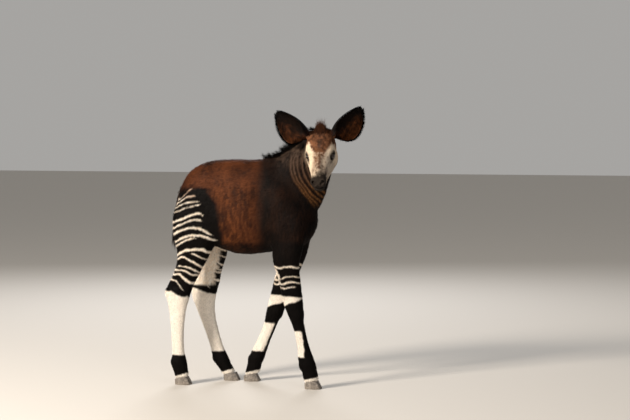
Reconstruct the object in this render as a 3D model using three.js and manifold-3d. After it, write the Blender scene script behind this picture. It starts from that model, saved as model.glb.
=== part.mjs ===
// A young okapi, life size, standing in mid stride with its head turned to its right.
// Millimetres, +X towards the chest, +Y to the animal's left, +Z up. The hooves stand at Z 0.
import * as THREE from "three";
import { mergeVertices } from "three/addons/utils/BufferGeometryUtils.js";
import Module from "manifold-3d";

const wasm = await Module();
wasm.setup();

// Driving dimensions
const WITHERS_HEIGHT = 1062;
const GAP = 0.3; // between pieces that meet
const HEAD_CENTRE = [677, -151, 1067]; // midway between the eyes
const HEAD_TURN = -80.5; // degrees about Z, from the chest's direction towards the right
const HEAD_DOWN = 41; // degrees that the muzzle points below level
const HEAD_TILT = 4; // degrees, left side up
const EYE_RADIUS = 15;
const EYE_PLACE = [2, 51, 14]; // left eye's centre, from the head's centre
const EYE_OUT = [0.5, 0.8, 0.32]; // where the left eye looks
const EAR_LENGTH = 182;
const EAR_THICK = 5;
const HOOF_LENGTH = 74;
const HOOF_HALF = 14.5; // half the width of one toe
const TOE_SPREAD = 15.5; // from a foot's middle to each toe's middle
const CORONET_HEIGHT = 34; // where hair meets hoof, at the foot's middle
const CORONET_SLOPE = 12; // degrees, higher in front
const TAIL_LENGTH = 215;
const WITHERS = [378, 0, 1062]; // where the mane starts
const MANE_HEIGHT = 26;
const MANE_LOCKS = 32;
const FORELOCKS = 8;
const FORELOCK_LENGTH = 42;
const TUFT_LOCKS = 10;

// Colours
const BROWN_BLACK = 0x2a1a12;
const CHESTNUT = 0x5a2410;
const CREAM = 0xe6dccb;
const FACE_TAN = 0xb59a7c;
const EAR_DARK = 0x1d1310;
const HOOF_GREY = 0x4a4440;
const EYE_DARK = 0x120d0b;

// Trunk, from the rump to the breast: where each section stands, its top, its bottom and half its width
const TRUNK = [
  { x: -48, top: 880, bottom: 812, half: 28 },
  { x: -38, top: 924, bottom: 775, half: 60 },
  { x: -18, top: 972, bottom: 733, half: 85 },
  { x: 12, top: 1010, bottom: 700, half: 101 },
  { x: 55, top: 1035, bottom: 674, half: 112 },
  { x: 110, top: 1053, bottom: 652, half: 118 },
  { x: 170, top: 1059, bottom: 630, half: 123 },
  { x: 235, top: 1061, bottom: 612, half: 127 },
  { x: 300, top: 1059, bottom: 610, half: 127 },
  { x: 360, top: WITHERS_HEIGHT, bottom: 618, half: 122 },
  { x: 420, top: 1066, bottom: 626, half: 115 },
  { x: 480, top: 1040, bottom: 632, half: 110 },
  { x: 530, top: 985, bottom: 644, half: 102 },
  { x: 572, top: 915, bottom: 668, half: 88 },
  { x: 600, top: 862, bottom: 704, half: 68 },
  { x: 618, top: 818, bottom: 750, half: 36 },
];

// Neck, from inside the breast to inside the head: centre, which way the crest lies, and its reach to
// crest, throat and side
const NECK = [
  { at: [430, 0, 860], crest: [-0.75, 0, 0.66], up: 140, down: 120, half: 76 },
  { at: [505, 0, 930], crest: [-0.7, 0, 0.71], up: 163, down: 168, half: 88 },
  { at: [558, -5, 990], crest: [-0.75, 0, 0.66], up: 145, down: 138, half: 80 },
  { at: [600, -22, 1045], crest: [-0.76, 0.1, 0.63], up: 116, down: 112, half: 70 },
  { at: [630, -48, 1092], crest: [-0.68, 0.32, 0.66], up: 90, down: 92, half: 63 },
  { at: [648, -74, 1122], crest: [-0.5, 0.5, 0.7], up: 72, down: 76, half: 58 },
  { at: [657, -100, 1132], crest: [-0.3, 0.6, 0.74], up: 56, down: 60, half: 48 },
];

// Legs, from inside the body to the coronet: height, centre, and reach before or behind it and to a side
const HIND_NEAR = [
  { z: 905, x: 50, y: -48, depth: 52, half: 28 },
  { z: 852, x: 42, y: -60, depth: 91, half: 45 },
  { z: 800, x: 38, y: -66, depth: 104, half: 53 },
  { z: 750, x: 41, y: -70, depth: 109, half: 55 },
  { z: 700, x: 45, y: -73, depth: 110, half: 54 },
  { z: 655, x: 49, y: -75, depth: 99, half: 50 },
  { z: 620, x: 43, y: -76, depth: 84, half: 45 },
  { z: 588, x: 35, y: -77, depth: 75, half: 41 },
  { z: 550, x: 20, y: -78, depth: 67, half: 36 },
  { z: 512, x: 4, y: -79, depth: 63, half: 32 },
  { z: 474, x: -17, y: -80, depth: 62, half: 29 },
  { z: 446, x: -29, y: -81, depth: 64, half: 30 },
  { z: 418, x: -35, y: -82, depth: 60, half: 29 },
  { z: 383, x: -36, y: -84, depth: 50, half: 26 },
  { z: 336, x: -36, y: -86, depth: 41, half: 23 },
  { z: 285, x: -36, y: -88, depth: 35, half: 21 },
  { z: 225, x: -35, y: -90, depth: 31, half: 20 },
  { z: 165, x: -32, y: -92, depth: 30, half: 21 },
  { z: 136, x: -29, y: -93, depth: 33, half: 25 },
  { z: 110, x: -27, y: -94, depth: 38, half: 30 },
  { z: 86, x: -24, y: -94, depth: 39, half: 31 },
  { z: 62, x: -17, y: -94, depth: 36, half: 29 },
  { z: 20, x: -5, y: -94, depth: 38, half: 31 },
];
const HIND_FAR = [
  { z: 905, x: 52, y: 48, depth: 52, half: 28 },
  { z: 852, x: 48, y: 60, depth: 91, half: 45 },
  { z: 800, x: 51, y: 66, depth: 103, half: 53 },
  { z: 750, x: 58, y: 70, depth: 107, half: 55 },
  { z: 700, x: 66, y: 73, depth: 106, half: 54 },
  { z: 655, x: 73, y: 75, depth: 96, half: 50 },
  { z: 620, x: 76, y: 77, depth: 85, half: 45 },
  { z: 588, x: 76, y: 79, depth: 76, half: 41 },
  { z: 550, x: 70, y: 81, depth: 67, half: 36 },
  { z: 512, x: 62, y: 83, depth: 63, half: 32 },
  { z: 474, x: 56, y: 84, depth: 63, half: 29 },
  { z: 446, x: 45, y: 85, depth: 64, half: 30 },
  { z: 418, x: 39, y: 85, depth: 63, half: 29 },
  { z: 383, x: 37, y: 86, depth: 57, half: 26 },
  { z: 336, x: 46, y: 87, depth: 46, half: 23 },
  { z: 285, x: 59, y: 88, depth: 39, half: 21 },
  { z: 225, x: 78, y: 89, depth: 35, half: 20 },
  { z: 165, x: 98, y: 90, depth: 33, half: 21 },
  { z: 130, x: 110, y: 90, depth: 37, half: 25 },
  { z: 104, x: 120, y: 90, depth: 40, half: 30 },
  { z: 80, x: 131, y: 90, depth: 40, half: 31 },
  { z: 56, x: 148, y: 90, depth: 37, half: 29 },
  { z: 18, x: 174, y: 90, depth: 38, half: 31 },
];
const FORE_NEAR = [
  { z: 985, x: 450, y: -46, depth: 42, half: 20 },
  { z: 920, x: 470, y: -57, depth: 64, half: 33 },
  { z: 850, x: 488, y: -66, depth: 80, half: 41 },
  { z: 780, x: 502, y: -72, depth: 88, half: 44 },
  { z: 710, x: 505, y: -76, depth: 87, half: 44 },
  { z: 650, x: 500, y: -79, depth: 78, half: 42 },
  { z: 605, x: 495, y: -81, depth: 68, half: 39 },
  { z: 567, x: 495, y: -82, depth: 61, half: 36 },
  { z: 525, x: 506, y: -83, depth: 55, half: 32 },
  { z: 470, x: 516, y: -84, depth: 51, half: 28 },
  { z: 412, x: 527, y: -84, depth: 47, half: 27 },
  { z: 378, x: 532, y: -84, depth: 45, half: 30 },
  { z: 340, x: 540, y: -83, depth: 37, half: 29 },
  { z: 308, x: 548, y: -82, depth: 31, half: 24 },
  { z: 263, x: 560, y: -80, depth: 28, half: 20 },
  { z: 218, x: 569, y: -78, depth: 29, half: 20 },
  { z: 176, x: 579, y: -75, depth: 32, half: 22 },
  { z: 143, x: 585, y: -73, depth: 38, half: 27 },
  { z: 110, x: 593, y: -71, depth: 41, half: 31 },
  { z: 78, x: 603, y: -69, depth: 38, half: 29 },
  { z: 20, x: 617, y: -66, depth: 38, half: 31 },
];
const FORE_FAR = [
  { z: 985, x: 450, y: 46, depth: 42, half: 20 },
  { z: 920, x: 469, y: 57, depth: 64, half: 33 },
  { z: 850, x: 484, y: 66, depth: 80, half: 41 },
  { z: 780, x: 494, y: 72, depth: 88, half: 44 },
  { z: 710, x: 493, y: 76, depth: 87, half: 44 },
  { z: 650, x: 486, y: 79, depth: 78, half: 42 },
  { z: 605, x: 479, y: 81, depth: 69, half: 39 },
  { z: 567, x: 470, y: 82, depth: 62, half: 36 },
  { z: 520, x: 453, y: 83, depth: 56, half: 32 },
  { z: 465, x: 434, y: 84, depth: 52, half: 28 },
  { z: 412, x: 417, y: 85, depth: 48, half: 27 },
  { z: 368, x: 402, y: 85, depth: 46, half: 30 },
  { z: 338, x: 391, y: 86, depth: 43, half: 29 },
  { z: 306, x: 380, y: 86, depth: 38, half: 25 },
  { z: 275, x: 369, y: 87, depth: 34, half: 20 },
  { z: 235, x: 352, y: 88, depth: 33, half: 20 },
  { z: 195, x: 334, y: 88, depth: 34, half: 21 },
  { z: 150, x: 314, y: 89, depth: 37, half: 26 },
  { z: 115, x: 300, y: 90, depth: 39, half: 31 },
  { z: 82, x: 289, y: 90, depth: 36, half: 29 },
  { z: 20, x: 274, y: 90, depth: 37, half: 31 },
];

// Head, from the poll to the nose, in its own frame: along the face, top, bottom and half its width
const SKULL = [
  { x: -142, top: 34, bottom: -24, half: 28 },
  { x: -132, top: 60, bottom: -50, half: 46 },
  { x: -108, top: 82, bottom: -58, half: 60 },
  { x: -74, top: 88, bottom: -60, half: 68 },
  { x: -40, top: 80, bottom: -58, half: 70 },
  { x: -8, top: 65, bottom: -52, half: 67 },
  { x: 20, top: 52, bottom: -44, half: 58 },
  { x: 50, top: 40, bottom: -38, half: 50 },
  { x: 82, top: 31, bottom: -30, half: 42 },
  { x: 112, top: 26, bottom: -22, half: 36 },
  { x: 140, top: 23, bottom: -20, half: 36 },
  { x: 163, top: 18, bottom: -20, half: 34 },
  { x: 177, top: 9, bottom: -19, half: 27 },
  { x: 184, top: 0, bottom: -13, half: 14 },
];
const JAW = [
  { x: -100, top: -20, bottom: -66, half: 42 },
  { x: -84, top: -16, bottom: -89, half: 60 },
  { x: -52, top: -14, bottom: -97, half: 66 },
  { x: -15, top: -14, bottom: -93, half: 62 },
  { x: 25, top: -14, bottom: -81, half: 53 },
  { x: 65, top: -14, bottom: -67, half: 42 },
  { x: 105, top: -14, bottom: -58, half: 32 },
  { x: 138, top: -14, bottom: -57, half: 28 },
  { x: 160, top: -16, bottom: -56, half: 24 },
  { x: 172, top: -20, bottom: -47, half: 15 },
];

// Ear, from its root to its tip: how far along, how far the cup is rolled up in degrees, its radius,
// and how far it drops to the lower side
const EAR = [
  { t: -0.16, roll: 150, radius: 15, drop: 0 },
  { t: 0.02, roll: 138, radius: 22, drop: 0 },
  { t: 0.12, roll: 112, radius: 40, drop: 2 },
  { t: 0.26, roll: 88, radius: 60, drop: 6 },
  { t: 0.42, roll: 76, radius: 70, drop: 7 },
  { t: 0.58, roll: 70, radius: 67, drop: 4 },
  { t: 0.73, roll: 66, radius: 56, drop: -1 },
  { t: 0.87, roll: 62, radius: 37, drop: -8 },
  { t: 0.96, roll: 58, radius: 19, drop: -13 },
  { t: 1, roll: 56, radius: 8, drop: -16 },
];

const vector = (a) => new THREE.Vector3(...a);
const radians = THREE.MathUtils.degToRad;

let seed = 7;
function random() {
  seed = (seed * 16807) % 2147483647;
  return seed / 2147483647;
}
const vary = (share) => 1 + share * (2 * random() - 1);

function power(value, exponent) {
  return Math.sign(value) * Math.abs(value) ** exponent;
}

// One closed section: a rounded oval with its own reach up, down and to the sides
function section(centre, up, side, reach, count, fullness = 2.2) {
  const points = [];
  for (let i = 0; i < count; i++) {
    const angle = (2 * Math.PI * i) / count;
    const across = power(Math.cos(angle), 2 / fullness) * reach.half;
    const rise = power(Math.sin(angle), 2 / fullness);
    points.push(
      centre
        .clone()
        .addScaledVector(side, across)
        .addScaledVector(up, rise * (rise > 0 ? reach.up : reach.down)),
    );
  }
  return points;
}

// A closed skin over sections of equal count, with a fan of triangles at each end
function loft(sections) {
  const count = sections[0].length;
  const middle = (ring) =>
    ring.reduce((sum, p) => sum.add(p), new THREE.Vector3()).divideScalar(count);
  const points = [...sections.flat(), middle(sections[0]), middle(sections.at(-1))];
  const first = points.length - 2;
  const last = points.length - 1;
  const faces = [];
  for (let i = 0; i < count; i++) {
    const next = (i + 1) % count;
    for (let ring = 0; ring < sections.length - 1; ring++) {
      const low = ring * count;
      const high = low + count;
      faces.push(low + i, low + next, high + next, low + i, high + next, high + i);
    }
    const end = (sections.length - 1) * count;
    faces.push(first, next, i, last, end + i, end + next);
  }
  const geometry = new THREE.BufferGeometry().setFromPoints(points);
  geometry.setIndex(faces);
  return geometry;
}

// A solid from a closed geometry, turned so that its faces point out
function solid(geometry, matrix) {
  const bare = new THREE.BufferGeometry();
  const source = geometry.index ? geometry.toNonIndexed() : geometry;
  bare.setAttribute("position", source.getAttribute("position").clone());
  if (matrix) bare.applyMatrix4(matrix);
  const merged = mergeVertices(bare, 1e-3);
  const triVerts = new Uint32Array(merged.index.array);
  const build = () =>
    new wasm.Manifold(
      new wasm.Mesh({
        numProp: 3,
        vertProperties: merged.attributes.position.array,
        triVerts,
      }),
    );
  const made = build();
  if (made.volume() > 0) return made;
  for (let i = 0; i < triVerts.length; i += 3)
    [triVerts[i + 1], triVerts[i + 2]] = [triVerts[i + 2], triVerts[i + 1]];
  return build();
}

const join = (solids) => solids.reduce((sum, next) => sum.add(next));

// The largest closed surface of a solid, which drops loose scraps and sealed hollows
function largest(made) {
  return made.decompose().reduce((a, b) => (b.volume() > a.volume() ? b : a));
}

function geometryOf(made) {
  const mesh = made.getMesh();
  const geometry = new THREE.BufferGeometry();
  geometry.setAttribute("position", new THREE.BufferAttribute(mesh.vertProperties, 3));
  geometry.setIndex(new THREE.BufferAttribute(mesh.triVerts, 1));
  return geometry;
}

// A ball stretched along three axes
function ball(centre, radii, turn = [0, 0, 0], parts = [10, 6]) {
  const matrix = new THREE.Matrix4().compose(
    vector(centre),
    new THREE.Quaternion().setFromEuler(new THREE.Euler(...turn.map(radians))),
    vector(radii),
  );
  return new THREE.SphereGeometry(1, ...parts).rotateZ(Math.PI / 2).applyMatrix4(matrix);
}

// Everything on one side of a plane, as a large block whose face starts at the point
function halfSpace(point, normal, shift = 0) {
  const size = 4000;
  const block = new THREE.BoxGeometry(size, size, size).translate(0, 0, size / 2 + shift);
  const turn = new THREE.Quaternion().setFromUnitVectors(
    new THREE.Vector3(0, 0, 1),
    vector(normal).normalize(),
  );
  return solid(
    block,
    new THREE.Matrix4().compose(vector(point), turn, new THREE.Vector3(1, 1, 1)),
  );
}

function split(made, point, normal) {
  return [
    largest(made.intersect(halfSpace(point, normal, GAP / 2))),
    largest(made.subtract(halfSpace(point, normal, -GAP / 2))),
  ];
}

// A flat lock that tapers and bends from its root, for mane, forelock and tail
function lock(root, rise, bend, flat, size) {
  const steps = [-0.45, 0.1, 0.62];
  const widths = [0.8, 1, 0.62];
  const across = new THREE.Vector3().crossVectors(rise, flat).normalize();
  const rings = steps.map((t, i) => {
    const centre = root
      .clone()
      .addScaledVector(rise, t * size.length)
      .addScaledVector(bend, Math.max(t, 0) ** 2 * size.length);
    const reach = {
      up: (size.thick * widths[i]) / 2,
      down: (size.thick * widths[i]) / 2,
      half: (size.width * widths[i]) / 2,
    };
    return section(centre, flat, across, reach, 4, 2);
  });
  const tip = root
    .clone()
    .addScaledVector(rise, size.length)
    .addScaledVector(bend, size.length);
  rings.push(
    section(tip, flat, across, { up: 0.4, down: 0.4, half: size.width * 0.06 }, 4, 2),
  );
  return solid(loft(rings));
}

function trunk(grow = 0) {
  const rings = TRUNK.map(({ x, top, bottom, half }, i) => {
    const middle = bottom + (top - bottom) * 0.46;
    return section(
      new THREE.Vector3(i ? x : x - grow, 0, middle),
      new THREE.Vector3(0, 0, 1),
      new THREE.Vector3(0, 1, 0),
      { up: top - middle + grow, down: middle - bottom + grow, half: half + grow },
      22,
    );
  });
  return solid(loft(rings));
}

// The neck's centre, crest direction, sideways direction and reach at a share of its length
function neckAt(share) {
  const place = THREE.MathUtils.clamp(share, 0, 1) * (NECK.length - 1);
  const curve = new THREE.CatmullRomCurve3(NECK.map((k) => vector(k.at)));
  const centre = curve.getPoint(place / (NECK.length - 1));
  const along = curve.getTangent(place / (NECK.length - 1));
  const low = Math.min(Math.floor(place), NECK.length - 2);
  const mix = (field) =>
    THREE.MathUtils.lerp(NECK[low][field], NECK[low + 1][field], place - low);
  const crest = vector(NECK[low].crest).lerp(vector(NECK[low + 1].crest), place - low);
  crest.addScaledVector(along, -crest.dot(along)).normalize();
  const side = new THREE.Vector3().crossVectors(crest, along).normalize();
  return { centre, along, crest, side, up: mix("up"), down: mix("down"), half: mix("half") };
}

function neck() {
  const steps = 10;
  const rings = [];
  for (let i = 0; i <= steps; i++) {
    const at = neckAt(i / steps);
    rings.push(section(at.centre, at.crest, at.side, at, 18, 2.1));
  }
  return solid(loft(rings));
}

function mane() {
  const crest = [0.3, 0.42, 0.55, 0.68, 0.8, 0.9].map((share) => {
    const at = neckAt(share);
    return at.centre.clone().addScaledVector(at.crest, at.up);
  });
  const line = new THREE.CatmullRomCurve3([vector(WITHERS), ...crest]);
  const locks = [];
  for (let i = 0; i < MANE_LOCKS; i++) {
    const share = i / (MANE_LOCKS - 1);
    const along = line.getTangentAt(share);
    const side = new THREE.Vector3(-along.y, along.x, 0).normalize();
    const up = new THREE.Vector3().crossVectors(along, side).normalize();
    const height = MANE_HEIGHT * vary(0.22) * THREE.MathUtils.lerp(0.7, 1.1, share);
    const root = line
      .getPointAt(share)
      .addScaledVector(up, -2)
      .addScaledVector(side, (i % 2 ? 1 : -1) * 4 * vary(0.5));
    const rise = up.clone().addScaledVector(along, -0.25).normalize();
    const bend = along.clone().multiplyScalar(-0.42 * vary(0.3));
    locks.push(lock(root, rise, bend, side, { length: height, width: 18, thick: 6 }));
  }
  return locks;
}

function leg(keys) {
  const rings = keys.map(({ z, x, y, depth, half }) =>
    section(
      new THREE.Vector3(x, y, z),
      new THREE.Vector3(1, 0, 0),
      new THREE.Vector3(0, 1, 0),
      { up: depth, down: depth, half },
      14,
    ),
  );
  return solid(loft(rings));
}

// What belongs to a leg: all below the belly line, and above it an arch seen from the side
function legRegion(side, arch, foot, grow = 0) {
  const inner = 27 - grow;
  const depth = 400;
  const outline = new THREE.Shape();
  outline.moveTo(foot.back - grow, -50);
  outline.lineTo(foot.back - grow, arch.z);
  outline.lineTo(arch.x - arch.reach - grow, arch.z + grow);
  outline.absellipse(
    arch.x,
    arch.z + grow,
    arch.reach + grow,
    arch.rise,
    Math.PI,
    0,
    true,
  );
  outline.lineTo(arch.x + arch.reach + grow, foot.belly + grow);
  outline.lineTo(foot.front + grow, foot.belly + grow);
  outline.lineTo(foot.front + grow, -50);
  outline.closePath();
  const prism = new THREE.ExtrudeGeometry(outline, {
    depth,
    bevelEnabled: false,
    curveSegments: 28,
  });
  prism.rotateX(Math.PI / 2); // the outline's height becomes Z, and the depth runs towards -Y
  prism.translate(0, side > 0 ? inner + depth : -inner, 0);
  return solid(prism);
}

const headMatrix = new THREE.Matrix4()
  .makeTranslation(...HEAD_CENTRE)
  .multiply(new THREE.Matrix4().makeRotationZ(radians(HEAD_TURN)))
  .multiply(new THREE.Matrix4().makeRotationY(radians(HEAD_DOWN)))
  .multiply(new THREE.Matrix4().makeRotationX(radians(HEAD_TILT)));

function faceLoft(keys, grow = 0, fullness = 2.3, count = 22) {
  const rings = keys.map(({ x, top, bottom, half }) => {
    const middle = (top + bottom) / 2;
    const reach = {
      up: top - middle + grow,
      down: middle - bottom + grow,
      half: half + grow,
    };
    return section(
      new THREE.Vector3(x, 0, middle),
      new THREE.Vector3(0, 0, 1),
      new THREE.Vector3(0, 1, 0),
      reach,
      count,
      fullness,
    );
  });
  return solid(loft(rings));
}

const mirrored = (place, side) => [place[0], place[1] * side, place[2]];

// A matrix that turns +Z to the way an eye looks, at the eye's centre
function eyeMatrix(side) {
  const turn = new THREE.Quaternion().setFromUnitVectors(
    new THREE.Vector3(0, 0, 1),
    vector(mirrored(EYE_OUT, side)).normalize(),
  );
  return new THREE.Matrix4().compose(
    vector(mirrored(EYE_PLACE, side)),
    turn,
    new THREE.Vector3(1, 1, 1),
  );
}

// The head in its own frame: skull, jaw, brows, cheeks and lids, with mouth, nostrils and eye openings cut
function head() {
  const lidThick = 3.6;
  let made = faceLoft(SKULL).add(faceLoft(JAW, 0, 2.2, 16));
  for (const side of [1, -1]) {
    made = made.add(solid(ball([-4, 43 * side, 15], [34, 24, 27]))); // orbit
    made = made.add(solid(ball([-48, 50 * side, -42], [44, 20, 36], [0, 20, 0]))); // cheek
    made = made.add(solid(ball([159, 18 * side, 0], [20, 17, 18]))); // nostril wing
    made = made.add(solid(ball([-100, 50 * side, 52], [24, 20, 20]))); // ear's root
  }
  for (const side of [1, -1]) {
    const at = eyeMatrix(side);
    const lids = new THREE.SphereGeometry(EYE_RADIUS + lidThick, 12, 8);
    const eye = new THREE.SphereGeometry(EYE_RADIUS + 2 * GAP, 14, 8);
    const opening = new THREE.SphereGeometry(1, 10, 8);
    opening.scale(8.4, 13.2, 26).translate(0, 0, 16);
    made = made
      .add(solid(lids, at))
      .subtract(solid(eye, at))
      .subtract(solid(opening, at));
    const nostril = ball([174, 19 * side, 3], [11, 4.2, 6.5], [20 * side, 28, 38 * side]);
    made = made.subtract(solid(nostril));
  }
  const mouth = new THREE.BoxGeometry(120, 120, 1.6);
  mouth.rotateY(radians(-3)).translate(136, 0, -20.5);
  const core = faceLoft(SKULL, -6).add(faceLoft(JAW, -6, 2.2, 16));
  made = made.subtract(solid(mouth).subtract(core));
  return made;
}

function forelock() {
  const locks = [];
  for (let i = 0; i < FORELOCKS; i++) {
    const across = 6 + (i - (FORELOCKS - 1) / 2) * 6.5;
    const root = new THREE.Vector3(-98 + 9 * (i % 2), across, 84 - 0.024 * across ** 2);
    const rise = new THREE.Vector3(-0.55, across * 0.012, 0.85).normalize();
    const bend = new THREE.Vector3(0.16 * vary(0.4), 0.1 * vary(0.9), 0.1);
    const size = { length: FORELOCK_LENGTH * vary(0.18), width: 13, thick: 6 };
    locks.push(lock(root, rise, bend, new THREE.Vector3(0.7, 0.3, 0.6).normalize(), size));
  }
  return locks;
}

// One ear in the head's frame: a leaf rolled into a cup, open to the front
function ear(side, aim) {
  const along = vector(mirrored(aim.along, side)).normalize();
  const open = vector(mirrored(aim.open, side));
  open.addScaledVector(along, -open.dot(along)).normalize();
  const down = new THREE.Vector3().crossVectors(open, along).normalize();
  if (down.z > 0) down.negate();
  const root = vector(mirrored([-102, 54, 54], side));
  const half = 8;
  const rings = EAR.map(({ t, roll, radius, drop }) => {
    const centre = root
      .clone()
      .addScaledVector(along, t * EAR_LENGTH)
      .addScaledVector(open, radius * 0.55 + 22 * Math.sin(Math.PI * Math.max(t, 0)) * 0.35)
      .addScaledVector(down, drop);
    const at = (share, reach) => {
      const angle = share * radians(roll);
      return centre
        .clone()
        .addScaledVector(down, Math.sin(angle) * reach)
        .addScaledVector(open, -Math.cos(angle) * reach);
    };
    const thick = Math.min(EAR_THICK, radius * 0.45);
    const ring = [];
    for (let i = 0; i <= half; i++) ring.push(at(-1 + (2 * i) / half, radius));
    for (let i = half; i >= 0; i--) ring.push(at(-1 + (2 * i) / half, radius - thick));
    return ring;
  });
  return solid(loft(rings), headMatrix);
}

// One toe of a hoof, its sole on Z 0 and its toe towards +X
function toe(side) {
  const levels = [
    { z: 0, front: HOOF_LENGTH * 0.56, back: HOOF_LENGTH * 0.44, half: HOOF_HALF },
    { z: 4, front: HOOF_LENGTH * 0.56, back: HOOF_LENGTH * 0.45, half: HOOF_HALF },
    { z: 20, front: HOOF_LENGTH * 0.42, back: HOOF_LENGTH * 0.46, half: HOOF_HALF * 0.98 },
    { z: 60, front: HOOF_LENGTH * 0.1, back: HOOF_LENGTH * 0.5, half: HOOF_HALF * 0.9 },
  ];
  const count = 14;
  const rings = levels.map(({ z, front, back, half }) => {
    const ring = [];
    for (let i = 0; i < count; i++) {
      const angle = (2 * Math.PI * i) / count;
      const reach = Math.cos(angle);
      const taper = reach > 0 ? 1 - 0.35 * reach : 1;
      ring.push(
        new THREE.Vector3(
          reach * (reach > 0 ? front : back),
          power(Math.sin(angle), 0.85) * half * taper,
          z,
        ),
      );
    }
    return ring;
  });
  const cut = [Math.sin(radians(-CORONET_SLOPE)), 0, Math.cos(radians(-CORONET_SLOPE))];
  const top = halfSpace([0, 0, CORONET_HEIGHT], cut, -GAP / 2);
  return solid(loft(rings)).subtract(top).translate([0, side * TOE_SPREAD, 0]);
}

function tail() {
  const curve = new THREE.CatmullRomCurve3(
    [
      [-10, 0, 938],
      [-38, 0, 916],
      [-58, 2, 872],
      [-72, 6, 810],
      [-77, 11, 745],
      [-77, 15, 700],
    ].map(vector),
  );
  const steps = 10;
  const rings = [];
  for (let i = 0; i <= steps; i++) {
    const along = curve.getTangentAt(i / steps);
    const side = new THREE.Vector3(0, 1, 0);
    const up = new THREE.Vector3().crossVectors(along, side).normalize();
    const radius = THREE.MathUtils.lerp(17, 6.5, (i / steps) ** 0.6);
    const reach = { up: radius, down: radius, half: radius };
    rings.push(section(curve.getPointAt(i / steps), up, side, reach, 10, 2));
  }
  const locks = [];
  const low = curve.getPointAt(0.86);
  for (let i = 0; i < TUFT_LOCKS; i++) {
    const angle = 2.4 * i;
    const out = new THREE.Vector3(Math.cos(angle), Math.sin(angle), 0);
    const root = low.clone().addScaledVector(out, 4);
    root.z -= (i / TUFT_LOCKS) * 28 - 6;
    const rise = new THREE.Vector3(0, 0, -1).addScaledVector(out, 0.1).normalize();
    const size = { length: (TAIL_LENGTH / 2.9) * vary(0.15), width: 12, thick: 6 };
    locks.push(lock(root, rise, out.clone().multiplyScalar(0.03), out, size));
  }
  return join([solid(loft(rings)), ...locks]);
}

const okapi = new THREE.Group();
const headGroup = new THREE.Group();
headGroup.applyMatrix4(headMatrix);

function addMesh(name, geometry, color, roughness = 0.85, parent = okapi) {
  const mesh = new THREE.Mesh(
    geometry,
    new THREE.MeshStandardMaterial({ color, roughness, metalness: 0 }),
  );
  mesh.name = name;
  parent.add(mesh);
  return mesh;
}

// A mesh in the head's group, from a solid that is in the body's frame
function addToHead(name, made, color, roughness) {
  const geometry = geometryOf(made).applyMatrix4(headMatrix.clone().invert());
  return addMesh(name, geometry, color, roughness, headGroup);
}

// Legs: the arch that parts each from the trunk, how far its foot reaches, and where its lower pieces meet
const LEGS = [
  {
    name: "hind_right",
    side: -1,
    keys: HIND_NEAR,
    arch: { x: 20, z: 640, reach: 146, rise: 212 },
    foot: { back: -150, front: 240, belly: 592 },
    hock: { at: [-33, 0, 424], lean: [-0.24, 0, 1] },
    fetlock: { at: [-30, 0, 140], lean: [0, 0, 1] },
    upper: "thigh",
    hoof: { x: -8, y: -94, turn: -3 },
  },
  {
    name: "hind_left",
    side: 1,
    keys: HIND_FAR,
    arch: { x: 30, z: 640, reach: 146, rise: 212 },
    foot: { back: -150, front: 240, belly: 592 },
    hock: { at: [38, 0, 402], lean: [-0.16, 0, 1] },
    fetlock: { at: [106, 0, 136], lean: [-0.3, 0, 1] },
    upper: "thigh",
    hoof: { x: 172, y: 90, turn: 3 },
  },
  {
    name: "fore_right",
    side: -1,
    keys: FORE_NEAR,
    arch: { x: 500, z: 600, reach: 92, rise: 118 },
    foot: { back: 225, front: 740, belly: 592 },
    hock: { at: [545, 0, 300], lean: [-0.2, 0, 1] },
    fetlock: { at: [584, 0, 148], lean: [-0.2, 0, 1] },
    upper: "arm",
    hoof: { x: 616, y: -66, turn: -4 },
  },
  {
    name: "fore_left",
    side: 1,
    keys: FORE_FAR,
    arch: { x: 484, z: 600, reach: 92, rise: 118 },
    foot: { back: 190, front: 740, belly: 592 },
    hock: { at: [372, 0, 282], lean: [0.42, 0, 1] },
    fetlock: { at: [314, 0, 150], lean: [0.4, 0, 1] },
    upper: "arm",
    hoof: { x: 273, y: 90, turn: 2 },
  },
];
const NECK_CUT = { at: [366, 0, 1062], lean: [0.77, 0, 0.64] };
const HEAD_CUT = { at: [655, -84, 1100], lean: [0.32, -0.94, 0.14] };

const body = join([trunk(), neck(), ...LEGS.map((l) => leg(l.keys))]);
let rest = body;
for (const l of LEGS) {
  const whole = largest(body.intersect(legRegion(l.side, l.arch, l.foot)));
  rest = rest.subtract(legRegion(l.side, l.arch, l.foot, GAP));
  const [upper, lower] = split(whole, l.hock.at, l.hock.lean);
  const [cannon, pastern] = split(lower, l.fetlock.at, l.fetlock.lean);
  const slope = radians(l.hoof.turn);
  const lean = [
    Math.sin(radians(-CORONET_SLOPE)) * Math.cos(slope),
    Math.sin(radians(-CORONET_SLOPE)) * Math.sin(slope),
    Math.cos(radians(-CORONET_SLOPE)),
  ];
  const [foot] = split(pastern, [l.hoof.x, l.hoof.y, CORONET_HEIGHT], lean);
  addMesh(`${l.name}_${l.upper}`, geometryOf(upper), BROWN_BLACK);
  addMesh(`${l.name}_cannon`, geometryOf(cannon), CREAM);
  addMesh(`${l.name}_foot`, geometryOf(foot), BROWN_BLACK);
  for (const [label, side] of [
    ["left", 1],
    ["right", -1],
  ]) {
    const hoof = addMesh(`${l.name}_toe_${label}`, geometryOf(toe(side)), HOOF_GREY, 0.45);
    hoof.position.set(l.hoof.x, l.hoof.y, 0);
    hoof.rotation.z = slope;
  }
}

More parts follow.
